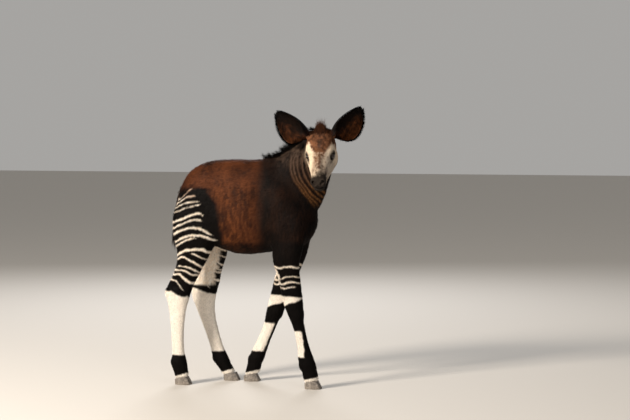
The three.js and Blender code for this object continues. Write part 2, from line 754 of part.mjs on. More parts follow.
const headSolid = solid(geometryOf(join([head(), ...forelock()])), headMatrix);
const [neckAndHead, torso] = split(rest, NECK_CUT.at, NECK_CUT.lean);
const [, neckOnly] = split(neckAndHead, HEAD_CUT.at, HEAD_CUT.lean);
const skull = headSolid.subtract(halfSpace(HEAD_CUT.at, HEAD_CUT.lean, 0));
const headOnly = largest(headSolid.intersect(halfSpace(HEAD_CUT.at, HEAD_CUT.lean, GAP / 2)));
const neckWithBack = neckOnly.add(skull.subtract(halfSpace(HEAD_CUT.at, HEAD_CUT.lean, -GAP / 2)));
const maned = join([neckWithBack, ...mane()]);
const maneLimit = maned
  .subtract(halfSpace(HEAD_CUT.at, HEAD_CUT.lean, -GAP / 2))
  .intersect(halfSpace(NECK_CUT.at, NECK_CUT.lean, GAP / 2));

addMesh("torso", geometryOf(torso), CHESTNUT);
addMesh("neck", geometryOf(largest(maneLimit)), BROWN_BLACK);
addToHead("head", headOnly, FACE_TAN);

const EARS = {
  right: { side: -1, aim: { along: [-0.36, 0.86, 0.42], open: [0.8, 0.2, 0.25] } },
  left: { side: 1, aim: { along: [-0.26, 0.72, 0.42], open: [0.8, 0.3, 0.1] } },
};
const headKeepOut = solid(
  geometryOf(
    join([
      faceLoft(SKULL, GAP),
      ...[1, -1].map((side) => solid(ball([-100, 50 * side, 52], [24.4, 20.4, 20.4]))),
    ]),
  ),
  headMatrix,
);
for (const [name, { side, aim }] of Object.entries(EARS)) {
  const made = ear(side, aim).subtract(headKeepOut);
  addToHead(`ear_${name}`, largest(made), EAR_DARK, 0.8);
  const eye = addMesh(
    `eye_${name}`,
    new THREE.SphereGeometry(EYE_RADIUS, 14, 8),
    EYE_DARK,
    0.08,
    headGroup,
  );
  eye.applyMatrix4(eyeMatrix(side));
}

const tailOnly = largest(tail().subtract(trunk(2 * GAP)));
addMesh("tail", geometryOf(tailOnly), BROWN_BLACK);
okapi.add(headGroup);

// The origin is the middle of the model's footprint, on the floor
const bounds = new THREE.Box3().setFromObject(okapi, true);
const centre = bounds.getCenter(new THREE.Vector3());
okapi.position.set(-centre.x, -centre.y, 0);

export default okapi;
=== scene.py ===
# Okapi calf: skin, coat, eyes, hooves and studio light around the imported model
import math
import time

import bpy
import numpy as np
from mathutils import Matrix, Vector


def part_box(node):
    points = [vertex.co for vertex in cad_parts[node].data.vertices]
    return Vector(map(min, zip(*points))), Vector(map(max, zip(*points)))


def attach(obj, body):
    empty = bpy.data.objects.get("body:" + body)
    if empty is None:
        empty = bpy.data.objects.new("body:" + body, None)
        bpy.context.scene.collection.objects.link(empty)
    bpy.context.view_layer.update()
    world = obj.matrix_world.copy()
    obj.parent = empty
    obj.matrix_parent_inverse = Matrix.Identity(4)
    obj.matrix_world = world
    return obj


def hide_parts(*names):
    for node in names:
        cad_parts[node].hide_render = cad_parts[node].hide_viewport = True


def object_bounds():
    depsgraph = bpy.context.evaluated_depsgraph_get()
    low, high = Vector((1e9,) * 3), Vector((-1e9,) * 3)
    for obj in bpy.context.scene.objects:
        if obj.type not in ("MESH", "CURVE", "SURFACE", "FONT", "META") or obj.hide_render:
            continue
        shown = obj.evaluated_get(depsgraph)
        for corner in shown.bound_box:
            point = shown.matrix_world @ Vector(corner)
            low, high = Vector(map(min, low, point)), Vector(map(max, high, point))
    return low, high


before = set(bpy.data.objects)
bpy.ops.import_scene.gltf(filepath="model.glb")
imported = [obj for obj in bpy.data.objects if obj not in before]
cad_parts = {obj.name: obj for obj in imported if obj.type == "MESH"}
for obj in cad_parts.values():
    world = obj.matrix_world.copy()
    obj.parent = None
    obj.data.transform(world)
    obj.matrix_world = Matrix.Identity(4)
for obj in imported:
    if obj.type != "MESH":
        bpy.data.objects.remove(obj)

import openvdb
from mathutils import Matrix, Vector
from mathutils.kdtree import KDTree

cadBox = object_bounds()
startTime = time.time()


def report(text):
    print(f"okapi: {text} ({time.time() - startTime:.0f} s)")


# Small maths

def smooth(low, high, x):
    t = np.clip((x - low) / (high - low), 0, 1)
    return t * t * (3 - 2 * t)


def unit(v):
    return v / np.maximum(np.linalg.norm(v, axis=-1, keepdims=True), 1e-9)


def mixTo(base, colour, share):
    return base + (np.asarray(colour) - base) * np.clip(share, 0, 1)[:, None]


def curveThrough(x, xs, ys):
    # cubic through the given values, flat enough not to overshoot much
    xs, ys = np.asarray(xs, float), np.asarray(ys, float)
    slope = np.gradient(ys, xs, axis=0)
    i = np.clip(np.searchsorted(xs, x) - 1, 0, len(xs) - 2)
    h = xs[i + 1] - xs[i]
    t = np.clip((x - xs[i]) / h, 0, 1)
    if ys.ndim > 1:
        h, t = h[..., None], t[..., None]
    a = (1 + 2 * t) * (1 - t) ** 2 * ys[i] + t * (1 - t) ** 2 * h * slope[i]
    return a + t * t * (3 - 2 * t) * ys[i + 1] + t * t * (t - 1) * h * slope[i + 1]


def noise(points, size, seed=0):
    # lattice noise from -1 to 1
    q = np.asarray(points) / size
    cell = np.floor(q).astype(np.int64)
    f = q - cell
    f = f * f * (3 - 2 * f)
    total = np.zeros(len(q))
    for dx in (0, 1):
        for dy in (0, 1):
            for dz in (0, 1):
                h = (cell[:, 0] + dx) * 374761393 + (cell[:, 1] + dy) * 668265263
                h = (h + (cell[:, 2] + dz) * 1274126177 + seed * 974634777) & 0xFFFFFFFF
                h = ((h ^ (h >> 13)) * 1103515245) & 0xFFFFFFFF
                value = ((h ^ (h >> 16)) & 0xFFFF) / 32767.5 - 1
                weight = np.abs(1 - dx - f[:, 0]) * np.abs(1 - dy - f[:, 1]) * np.abs(1 - dz - f[:, 2])
                total += value * weight
    return total


# The animal's own axes: X 0 at the near hind hoof, Y 0 the middle, head turned to the right

head = {
    "centre": np.array([0.677, -0.151, 1.067]),
    "turn": -80.5,
    "down": 41,
    "tilt": 4,
    "eye": np.array([0.002, 0.051, 0.014]),
    "eyeLooks": np.array([0.5, 0.8, 0.32]),
    "eyeRadius": 0.015,
}
headAxes = np.array(
    Matrix.Rotation(math.radians(head["turn"]), 3, "Z")
    @ Matrix.Rotation(math.radians(head["down"]), 3, "Y")
    @ Matrix.Rotation(math.radians(head["tilt"]), 3, "X")
)
eyesMiddle = (sum(np.add(*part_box(f"eye_{side}")) / 2 for side in ("left", "right"))) / 2
ownEyesMiddle = head["centre"] + headAxes @ (head["eye"] * [1, 0, 1])
shift = eyesMiddle - ownEyesMiddle
shift[2] = 0


def fromHead(places):
    # head axes to the animal's own
    return np.asarray(places) @ headAxes.T + head["centre"]


def toHead(points):
    return (points - head["centre"]) @ headAxes


legNames = {
    "hind_right": ("thigh", -1),
    "hind_left": ("thigh", 1),
    "fore_right": ("arm", -1),
    "fore_left": ("arm", 1),
}
fleshNodes = ["torso", "neck", "head"]
for legName, (upper, _) in legNames.items():
    fleshNodes += [f"{legName}_{upper}", f"{legName}_cannon", f"{legName}_foot"]


def nodeShape(name):
    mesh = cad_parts[name].data
    points = np.empty(len(mesh.vertices) * 3, np.float32)
    mesh.vertices.foreach_get("co", points)
    mesh.calc_loop_triangles()
    corners = np.empty(len(mesh.loop_triangles) * 3, np.int32)
    mesh.loop_triangles.foreach_get("vertices", corners)
    return points.reshape(-1, 3) - shift.astype(np.float32), corners.reshape(-1, 3).astype(np.uint32)


# Each leg from the hoof up, in mm: height, centre forward and sideways, reach before and behind it, to a side
legRows = {
    "hind_right": [
        (20, -5, 94, 38, 31), (62, -17, 94, 36, 29), (110, -27, 94, 38, 30), (165, -32, 92, 30, 21),
        (225, -35, 90, 31, 20), (285, -36, 88, 35, 21), (336, -36, 86, 41, 23), (383, -36, 84, 50, 26),
        (418, -35, 82, 60, 29), (446, -29, 81, 64, 30), (474, -17, 80, 62, 29), (512, 4, 79, 63, 32),
        (550, 20, 78, 67, 36), (588, 35, 77, 75, 41), (620, 43, 76, 84, 45), (655, 49, 75, 99, 50),
        (700, 45, 73, 110, 54), (750, 41, 70, 109, 55), (800, 38, 66, 104, 53), (852, 42, 60, 91, 45),
        (905, 50, 48, 52, 28),
    ],
    "hind_left": [
        (18, 174, 90, 38, 31), (56, 148, 90, 37, 29), (104, 120, 90, 40, 30), (165, 98, 90, 33, 21),
        (225, 78, 89, 35, 20), (285, 59, 88, 39, 21), (336, 46, 87, 46, 23), (383, 37, 86, 57, 26),
        (418, 39, 85, 63, 29), (446, 45, 85, 64, 30), (474, 56, 84, 63, 29), (512, 62, 83, 63, 32),
        (550, 70, 81, 67, 36), (588, 76, 79, 76, 41), (620, 76, 77, 85, 45), (655, 73, 75, 96, 50),
        (700, 66, 73, 106, 54), (750, 58, 70, 107, 55), (800, 51, 66, 103, 53), (852, 48, 60, 91, 45),
        (905, 52, 48, 52, 28),
    ],
    "fore_right": [
        (20, 617, 66, 38, 31), (78, 603, 69, 38, 29), (110, 593, 71, 41, 31), (143, 585, 73, 38, 27),
        (176, 579, 75, 32, 22), (218, 569, 78, 29, 20), (263, 560, 80, 28, 20), (308, 548, 82, 31, 24),
        (340, 540, 83, 37, 29), (378, 532, 84, 45, 30), (412, 527, 84, 47, 27), (470, 516, 84, 51, 28),
        (525, 506, 83, 55, 32), (567, 495, 82, 61, 36), (605, 495, 81, 68, 39), (650, 500, 79, 78, 42),
    ],
    "fore_left": [
        (20, 274, 90, 37, 31), (82, 289, 90, 36, 29), (115, 300, 90, 39, 31), (150, 314, 89, 37, 26),
        (195, 334, 88, 34, 21), (235, 352, 88, 33, 20), (275, 369, 87, 34, 20), (306, 380, 86, 38, 25),
        (338, 391, 86, 43, 29), (368, 402, 85, 46, 30), (412, 417, 85, 48, 27), (465, 434, 84, 52, 28),
        (520, 453, 83, 56, 32), (567, 470, 82, 62, 36), (605, 479, 81, 69, 39), (650, 486, 79, 78, 42),
    ],
}


def legOutline(name):
    # back, front, lowest and highest Y of a leg at each height
    z, x, y, reach, half = np.array(legRows[name]).T / 1000
    y = y * legNames[name][1]
    return z, np.stack([x - reach, x + reach, y - half, y + half], 1)


outlines = {name: legOutline(name) for name in legNames}


def alongLeg(name, points):
    # forward and sideways place in a leg, from -1 to 1 at its outline, outwards positive
    levels, rows = outlines[name]
    x0, x1, y0, y1 = (np.interp(points[:, 2], levels, rows[:, k]) for k in range(4))
    forward = (2 * points[:, 0] - x0 - x1) / (x1 - x0)
    outward = (2 * points[:, 1] - y0 - y1) / (y1 - y0) * legNames[name][1]
    return forward, outward


# Fields of signed distance, from which the skin is meshed

class Field:
    farValue = 0.03
    bandVoxels = 8.0
    closeGap = 0.0004

    def __init__(self, low, high, voxel):
        self.voxel = voxel
        self.start = np.floor(np.array(low) / voxel).astype(int)
        self.shape = np.ceil(np.array(high) / voxel).astype(int) - self.start + 1
        self.value = np.full(self.shape, self.farValue, np.float32)
        self.transform = openvdb.createLinearTransform(voxelSize=voxel)

    def levels(self, **surface):
        # distances to a closed surface, up to the band's width
        grid = openvdb.FloatGrid.createLevelSetFromPolygons(
            transform=self.transform, halfWidth=self.bandVoxels, **surface
        )
        dense = np.empty(self.shape, np.float32)
        grid.copyToArray(dense, ijk=tuple(int(v) for v in self.start))
        return dense

    def add(self, points, triangles):
        dense = self.levels(points=points, triangles=triangles)
        np.minimum(self.value, dense, out=self.value)

    def blurred(self, values, size):
        reach = int(2.6 * size / self.voxel) + 1
        weights = np.exp(-((np.arange(-reach, reach + 1) * self.voxel / size) ** 2) / 2)
        weights /= weights.sum()
        for axis in range(3):
            moved = np.zeros_like(values)
            for step, weight in zip(range(-reach, reach + 1), weights):
                moved += np.float32(weight) * np.roll(values, step, axis)
            values = moved
        return values

    def soften(self, size):
        # rounds the whole surface and closes the thin gaps between nodes
        inside = np.clip(0.5 - (self.value - self.closeGap) / self.voxel, 0, 1)
        self.value = (0.5 - self.blurred(inside, size)).astype(np.float32) * np.float32(2.5 * size)
        points, quads = self.surface()
        self.value = self.levels(points=points, quads=quads)

    def softenMore(self, size, share):
        # a wider blur where share is 1
        wide = self.blurred(self.value, size)
        self.value += (wide - self.value) * share.astype(np.float32)

    def swell(self, centre, radii, height):
        # raises the surface by a soft mound, or sinks it where height is below 0
        centre, radii = np.asarray(centre, float), np.asarray(radii, float)
        part = self.near(centre, 2.4 * radii.max())
        x, y, z = self.places(part)
        gap = sum(((c - o) / radius) ** 2 for c, o, radius in zip((x, y, z), centre, radii))
        self.value[part] -= (height * np.exp(-gap)).astype(np.float32)

    def surface(self):
        grid = openvdb.FloatGrid(self.farValue)
        grid.transform = self.transform
        grid.gridClass = openvdb.GridClass.LEVEL_SET
        grid.copyFromArray(self.value, ijk=tuple(int(v) for v in self.start))
        return grid.convertToQuads(isovalue=0)

    def places(self, part=None):
        part = part or tuple(slice(0, n) for n in self.shape)
        axes = [
            (np.arange(s.start, s.stop) + o).astype(np.float32) * np.float32(self.voxel)
            for s, o in zip(part, self.start)
        ]
        return np.meshgrid(*axes, indexing="ij", sparse=True)

    def near(self, centre, reach):
        low = np.floor((np.asarray(centre) - reach) / self.voxel).astype(int) - self.start
        high = np.ceil((np.asarray(centre) + reach) / self.voxel).astype(int) - self.start + 1
        low, high = np.clip(low, 0, self.shape), np.clip(high, 0, self.shape)
        return tuple(slice(int(a), int(b)) for a, b in zip(low, high))

    def apply(self, part, distance, blend, carve):
        # joins a shape to the field, or cuts it out, with a rounded edge
        old = self.value[part]
        a, b = (-old, distance) if carve else (old, distance)
        h = np.clip(0.5 + 0.5 * (b - a) / blend, 0, 1)
        joined = b + (a - b) * h - blend * h * (1 - h)
        self.value[part] = -joined if carve else joined

    def ball(self, centre, radii, blend=0.01, carve=False, axes=None):
        centre, radii = np.asarray(centre, float), np.asarray(radii, float) * np.ones(3)
        part = self.near(centre, radii.max() + 3 * blend + 0.006)
        if min(s.stop - s.start for s in part) < 1:
            return
        x, y, z = (c - np.float32(o) for c, o in zip(self.places(part), centre))
        if axes is not None:
            x, y, z = (x * axes[0, k] + y * axes[1, k] + z * axes[2, k] for k in range(3))
        near = np.sqrt((x / radii[0]) ** 2 + (y / radii[1]) ** 2 + (z / radii[2]) ** 2)
        far = np.sqrt((x / radii[0] ** 2) ** 2 + (y / radii[1] ** 2) ** 2 + (z / radii[2] ** 2) ** 2)
        self.apply(part, (near * (near - 1) / np.maximum(far, 1e-6)).astype(np.float32), blend, carve)

    def rod(self, start, end, radii, blend=0.008, carve=False):
        start, end = np.asarray(start, float), np.asarray(end, float)
        middle, along = (start + end) / 2, end - start
        part = self.near(middle, np.abs(along) / 2 + max(radii) + 3 * blend + 0.006)
        if min(s.stop - s.start for s in part) < 1:
            return
        x, y, z = (c - np.float32(o) for c, o in zip(self.places(part), start))
        share = np.clip((x * along[0] + y * along[1] + z * along[2]) / (along @ along), 0, 1)
        gap = np.sqrt((x - share * along[0]) ** 2 + (y - share * along[1]) ** 2 + (z - share * along[2]) ** 2)
        distance = gap - (radii[0] + (radii[1] - radii[0]) * share)
        self.apply(part, distance.astype(np.float32), blend, carve)


neckLine = np.array([
    [0.430, 0, 0.860], [0.505, 0, 0.930], [0.558, -0.005, 0.990], [0.600, -0.022, 1.045],
    [0.630, -0.048, 1.092], [0.648, -0.074, 1.122], [0.657, -0.100, 1.132],
])
tailLine = np.array([
    [-0.010, 0, 0.938], [-0.038, 0, 0.916], [-0.058, 0.002, 0.872],
    [-0.072, 0.006, 0.810], [-0.077, 0.011, 0.745], [-0.077, 0.015, 0.700],
])


def throughPoints(line, count):
    ends = np.linspace(0, 1, len(line))
    return curveThrough(np.linspace(0, 1, count), ends, line)


# Forms under the coat that the solids only outline: centre, radii, in metres, right side then mirrored
body = {
    "voxel": 0.004,
    "soften": 0.0055,
    "depth": {"trunk": 0.005, "cannon": 0.0025, "face": 0.0025},
    "softenTrunk": 0.016,
    "tailSteps": 12,
    "tailRadii": (0.0145, 0.0055),
    "mounds": [
        ([0.475, 0.110, 0.860], [0.060, 0.060, 0.110], 0.007),  # shoulder blade
        ([0.560, 0.080, 0.765], [0.040, 0.050, 0.045], 0.007),  # point of the shoulder
        ([0.440, 0.115, 0.735], [0.050, 0.050, 0.060], 0.006),  # upper arm
        ([0.375, 0.125, 0.830], [0.035, 0.060, 0.120], -0.006),  # hollow behind the shoulder
        ([0.105, 0.090, 0.990], [0.035, 0.050, 0.028], 0.005),  # hip
        ([0.180, 0.125, 0.860], [0.050, 0.060, 0.075], -0.007),  # flank
        ([0.025, 0.115, 0.840], [0.080, 0.060, 0.090], 0.005),  # haunch
        ([0.040, 0.105, 0.560], [0.030, 0.040, 0.050], 0.004),  # gaskin
    ],
}


def legPlace(name, z, forward, outward=0):
    levels, rows = outlines[name]
    x0, x1, y0, y1 = (np.interp(z, levels, rows[:, k]) for k in range(4))
    outward = outward * legNames[name][1]
    return np.array([(x0 + x1) / 2 + forward * (x1 - x0) / 2, (y0 + y1) / 2 + outward * (y1 - y0) / 2, z])


# Heights in the legs, in metres from the floor
legForms = {
    "hock": 0.43,
    "knee": {"hind_right": 0.40, "hind_left": 0.40, "fore_right": 0.345, "fore_left": 0.335},
    "cannonFoot": 0.17,
    "cannonTop": {"thigh": 0.34, "arm": 0.29},
    "fetlock": 0.105,
    "cleft": (0.032, 0.085),
}


def sculptLegs(field):
    for name, (upper, _) in legNames.items():
        def rod(low, high, radii, blend, carve=False):
            field.rod(legPlace(name, *low), legPlace(name, *high), radii, blend, carve)

        if upper == "thigh":
            # tendon above the hock, the hollows beside it and the point of the hock
            hock = legForms["hock"]
            rod((hock + 0.01, -0.78), (hock + 0.13, -0.78), (0.009, 0.006), 0.012)
            for side in (-1, 1):
                low, high = (hock + 0.035, -0.36, 1.08 * side), (hock + 0.12, -0.34, 1.044 * side)
                rod(low, high, (0.010, 0.008), 0.014, carve=True)
            field.ball(legPlace(name, hock, -0.82), (0.014, 0.012, 0.020), 0.012)
        field.ball(legPlace(name, legForms["knee"][name], 0.35), (0.022, 0.025, 0.030), 0.016)
        for outward in (-1.28, 1.28):  # grooves in front of the tendons
            low = (legForms["cannonFoot"], -0.25, outward)
            high = (legForms["cannonTop"][upper], -0.2, outward)
            rod(low, high, (0.006, 0.006), 0.010, carve=True)
        field.ball(legPlace(name, legForms["fetlock"], -0.55), (0.018, 0.020, 0.020), 0.012)
        low, high = legForms["cleft"]
        rod((low, 0.9), (high, 0.95), (0.0045, 0.002), 0.012, carve=True)


def makeBodyField():
    low, high = np.array(cadBox[0]) - shift - 0.03, np.array(cadBox[1]) - shift + 0.03
    field = Field(low, [0.80, high[1], 1.24], body["voxel"])
    for name in fleshNodes:
        field.add(*nodeShape(name))
    field.soften(body["soften"])
    x, y, z = field.places()
    field.softenMore(body["softenTrunk"], smooth(0.60, 0.70, z + 0 * x + 0 * y))
    for centre, radii, height in body["mounds"]:
        for side in (-1, 1):
            field.swell(np.array(centre) * [1, side, 1], radii, height)
    sculptLegs(field)
    last = body["tailSteps"] - 1
    tail = throughPoints(tailLine, last + 1)
    thick, thin = body["tailRadii"]
    for i in range(last):
        radii = [thick - (thick - thin) * (k / last) ** 0.6 for k in (i, i + 1)]
        field.rod(tail[i], tail[i + 1], radii, 0.008 if i < 4 else 0.001)
    return field


def coatDepth(z, fromFace):
    depth = body["depth"]
    trunk = depth["cannon"] + (depth["trunk"] - depth["cannon"]) * smooth(0.40, 0.66, z)
    return trunk + (depth["face"] - trunk) * (1 - smooth(0.14, 0.21, fromFace))


def insetField(field):
    # the solids end at the tips of the coat, so the skin lies deeper by its depth
    x, y, z = field.places()
    cx, cy, cz = fromHead([0.03, 0, 0])
    fromFace = np.sqrt((x - cx) ** 2 + (y - cy) ** 2 + (z - cz) ** 2)
    field.value += coatDepth(z, fromFace).astype(np.float32)


# The head's finer forms, in its own axes: x along the face, y to its left, z up from the face
def eyeAxes(side):
    looks = unit(head["eyeLooks"] * [1, side, 1])
    lids = np.array([1, 0, -0.25])
    along = unit(lids - looks * (lids @ looks))
    return headAxes @ np.stack([along, np.cross(looks, along), looks], 1)


def upperLid(axes):
    # up across the eye, on either side
    return axes[:, 1] * (1 if axes[2, 1] > 0 else -1)


def makeHeadField():
    middle = fromHead([0.01, 0, 0.0])
    field = Field(middle - [0.17, 0.205, 0.19], middle + [0.15, 0.17, 0.19], 0.002)
    for name in ("head", "neck"):
        field.add(*nodeShape(name))
    for side in (-1, 1):  # the solids' eye openings are filled before lids are shaped
        field.ball(fromHead([0.000, 0.043 * side, 0.013]), (0.030, 0.0215, 0.024), 0.004, axes=headAxes)
    field.soften(0.0045)

    def ball(place, radii, blend, carve=False):
        field.ball(fromHead(np.array(place) / 1000), np.array(radii) / 1000, blend / 1000, carve, headAxes)

    def rod(start, end, radii, blend, carve=False):
        ends = [fromHead(np.array(p) / 1000) for p in (start, end)]
        field.rod(*ends, np.array(radii) / 1000, blend / 1000, carve)

    for side in (-1, 1):
        rod([-22, 49 * side, 40], [20, 42 * side, 37], [7, 5], 12)  # brow
        rod([30, 46 * side, 2], [78, 34 * side, -6], [8, 5], 12)  # cheekbone
        rod([30, 56 * side, 16], [58, 44 * side, 8], [7, 4], 10, carve=True)  # hollow before the eye
        ball([-48, 52 * side, -40], [36, 12, 30], 14)  # jaw muscle
        ball([-104, 46 * side, 54], [22, 20, 20], 14)  # root of the ear
        ball([156, 21 * side, 2], [17, 14, 15], 10)  # wing of the nostril
        ball([150, 22 * side, -16], [24, 12, 9], 8)  # upper lip
        ball([150, 12 * side, -40], [18, 12, 9], 8)  # lower lip
    rod([34, 0, 40], [120, 0, 22], [12, 12], 16)  # bridge of the nose
    ball([168, 0, -10], [12, 18, 13], 8)
    for side in (-1, 1):
        rod([166, 21 * side, 9], [176, 15 * side, 3], [4.6, 3.2], 3, carve=True)  # nostril
        rod([166, 22 * side, 9], [158, 27 * side, 3], [3.6, 1.6], 3, carve=True)
    rod([185, 0, 2], [180, 0, -20], [2.2, 2.2], 4, carve=True)  # groove of the lip
    for side in (-1, 1):
        centre = head["eye"] * [1, side, 1]
        at = fromHead(centre)
        axes = eyeAxes(side)
        lid = at + axes[:, 2] * 0.0105 + upperLid(axes) * 0.0125
        field.ball(at, head["eyeRadius"] + 0.0042, 0.007)
        field.rod(lid - axes[:, 0] * 0.012, lid + axes[:, 0] * 0.010, (0.0026, 0.0022), 0.004)
        field.ball(at, head["eyeRadius"] + 0.0006, 0.0006, carve=True)
        field.ball(at + axes[:, 2] * 0.016, (0.0138, 0.0108, 0.014), 0.0015, carve=True, axes=axes)
    x, y, z = field.places()
    hx, hz = (
        (x - head["centre"][0]) * headAxes[0, k]
        + (y - head["centre"][1]) * headAxes[1, k]
        + (z - head["centre"][2]) * headAxes[2, k]
        for k in (0, 2)
    )
    # the line of the mouth, from its corner forward
    cut = np.abs(hz - (-0.0285 + 0.05 * (hx - 0.15))) - 0.0011
    groove = np.maximum(np.maximum(cut, 0.098 - hx), -(field.value + 0.007))
    field.value = np.maximum(field.value, -groove).astype(np.float32)
    return field


def bodyValueAt(field, points):
    # the body's distances at any points, between its voxels
    q = points / field.voxel - field.start
    cell = np.clip(np.floor(q).astype(int), 0, field.shape - 2)
    f = np.clip(q - cell, 0, 1)
    total = 0
    for dx in (0, 1):
        for dy in (0, 1):
            for dz in (0, 1):
                w = np.abs(1 - dx - f[:, 0]) * np.abs(1 - dy - f[:, 1]) * np.abs(1 - dz - f[:, 2])
                total = total + w * field.value[cell[:, 0] + dx, cell[:, 1] + dy, cell[:, 2] + dz]
    return total


# Where the head's finer surface takes over from the body's, and where the neck leaves the trunk
headJoin = {
    "point": np.array([0.650, -0.062, 1.090]),
    "normal": unit(np.array([0.32, -0.94, 0.14])),
    "overlap": 0.004,
    "blend": 0.02,
    "blendedTo": 0.022,
    "rim": 0.006,
}


neckRoot = {"point": np.array([0.40, 0, 1.0]), "normal": unit(np.array([0.77, 0, 0.64]))}


def pastJoin(points):
    return (points - headJoin["point"]) @ headJoin["normal"]


def pastNeckRoot(points):
    return (points - neckRoot["point"]) @ neckRoot["normal"]


def neckShare(points):
    return smooth(0.0, 0.10, pastNeckRoot(points))


def headShare(points):
    return smooth(-0.01, 0.05, pastJoin(points))


def orient(points, quads):
    # faces that look outwards
    a, b, c = (points[quads[:, k]] for k in range(3))
    volume = np.einsum("ij,ij->i", np.cross(b - a, c - a), a).sum()
    return quads if volume > 0 else quads[:, ::-1]


def ringQuads(rings, count):
    # faces between rings of points, each of the same count
    start = np.arange(rings - 1)[:, None] * count
    k = np.arange(count)[None]
    after = (k + 1) % count
    return np.stack([start + k, start + after, start + count + after, start + count + k], -1).reshape(-1, 4)


def fan(centre, start, count, flip=False):
    k = np.arange(count)
    first, second = start + k, start + (k + 1) % count
    return np.stack([np.full(count, centre)] + ([second, first] if flip else [first, second]), 1)


def halves(quads):
    return np.vstack([quads[:, [0, 1, 2]], quads[:, [0, 2, 3]]])


def compact(points, faces):
    used = np.unique(faces)
    index = np.full(len(points), -1)
    index[used] = np.arange(len(used))
    return points[used], index[faces]


def biggestPiece(points, faces):
    # keeps the largest connected surface
    label = np.arange(len(points))
    while True:
        low = label[faces].min(1)
        new = label.copy()
        for k in range(faces.shape[1]):
            np.minimum.at(new, faces[:, k], low)
        new = new[new]
        if (new == label).all():
            break
        label = new
    tags, counts = np.unique(label[faces[:, 0]], return_counts=True)
    return faces[label[faces[:, 0]] == tags[counts.argmax()]]


def makeSkinSurface():
    bodyField = makeBodyField()
    report("body field")
    headField = makeHeadField()
    report("head field")
    insetField(bodyField)
    insetField(headField)
    points, quads = bodyField.surface()
    quads = orient(points, biggestPiece(points, quads.astype(np.int64)))
    middle = points[quads].mean(1)
    bodyPoints, bodyQuads = compact(points, quads[pastJoin(middle) < headJoin["overlap"]])
    x, y, z = np.broadcast_arrays(*headField.places())
    flat = np.stack([x, y, z], -1).reshape(-1, 3)
    past = pastJoin(flat)
    near = past < headJoin["blendedTo"]
    share = 1 - smooth(headJoin["overlap"], headJoin["overlap"] + headJoin["blend"], past[near])
    value = headField.value.reshape(-1)
    value[near] += (bodyValueAt(bodyField, flat[near]) - value[near]) * share
    headField.value = value.reshape(headField.shape)
    points, quads = headField.surface()
    quads = orient(points, biggestPiece(points, quads.astype(np.int64)))
    # the head field's own walls are cut away with what lies behind the join
    middle = points[quads].mean(1)
    inside = ((middle > flat.min(0) + headJoin["rim"]) & (middle < flat.max(0) - headJoin["rim"])).all(1)
    headPoints, headQuads = compact(points, quads[(pastJoin(middle) > 0) & inside])
    return (bodyPoints, bodyQuads), (headPoints, headQuads)


# Ears: a leaf rolled into a cup. Share of the length, roll in degrees, radius and drop in millimetres
ear = {
    "length": 0.182,
    "skin": 0.0022,
    "grid": (44, 28),
    "ends": (-0.13, 0.992),
    "edge": 0.985,
    "warmth": {"right": 0.45, "left": 0.95},
    "rows": np.array([
        [-0.16, 150, 15, 0], [0.02, 138, 22, 0], [0.12, 112, 40, 2], [0.26, 88, 60, 6], [0.42, 76, 70, 7],
        [0.58, 70, 67, 4], [0.73, 66, 56, -1], [0.87, 62, 37, -8], [0.96, 58, 19, -13], [1, 56, 8, -16],
    ]),
    "root": np.array([-0.102, 0.054, 0.054]),
    "along": {"right": [-0.36, 0.86, 0.42], "left": [-0.26, 0.72, 0.42]},
    "open": {"right": [0.8, 0.2, 0.25], "left": [0.8, 0.3, 0.1]},
}


def earPoints(sideName, t, s, lift):
    # t along the ear, s across it from -1 to 1, lift out of the cup's middle surface
    side = 1 if sideName == "left" else -1
    flip = np.array([1, side, 1])
    along = unit(np.array(ear["along"][sideName]) * flip)
    opening = np.array(ear["open"][sideName]) * flip
    opening = unit(opening - along * (opening @ along))
    down = unit(np.cross(opening, along))
    down = -down if down[2] > 0 else down
    rows = ear["rows"]
    roll, radius, drop = (curveThrough(t, rows[:, 0], rows[:, k]) for k in (1, 2, 3))
    angle = s * np.radians(roll)
    reach = np.maximum(radius - 2.5, 1.5) / 1000 + lift
    bow = 0.55 * radius / 1000 + 0.0077 * np.sin(np.pi * np.clip(t, 0, 1))
    centre = ear["root"] * flip + np.multiply.outer(t * ear["length"], along)
    centre = centre + np.multiply.outer(bow, opening) + np.multiply.outer(drop / 1000, down)
    place = centre + down * (np.sin(angle) * reach)[..., None] - opening * (np.cos(angle) * reach)[..., None]
    return fromHead(place)


def earGrid():
    # places along and across the ear's mesh
    rows, across = ear["grid"]
    return np.linspace(*ear["ends"], rows), np.linspace(-ear["edge"], ear["edge"], across)


def makeEar(sideName):
    rows, across = ear["grid"]
    tt, ss = np.meshgrid(*earGrid(), indexing="ij")
    thick = ear["skin"] / 2 * (1 - 0.5 * tt.clip(0, 1)) * np.sqrt(np.clip(1 - np.abs(ss) ** 8, 0.12, 1))
    outer = earPoints(sideName, tt.ravel(), ss.ravel(), thick.ravel()).reshape(rows, across, 3)
    inner = earPoints(sideName, tt.ravel(), ss.ravel(), -thick.ravel()).reshape(rows, across, 3)
    ring = np.concatenate([outer, inner[:, ::-1]], 1)
    count = 2 * across
    points = ring.reshape(-1, 3)
    caps = []
    for row in (0, rows - 1):
        for k in range(across - 1):
            cap = [row * count + place for place in (k, k + 1, count - 2 - k, count - 1 - k)]
            caps.append(cap[::-1] if row == 0 else cap)
    return points, orient(points, np.vstack([ringQuads(rows, count), np.array(caps)]))
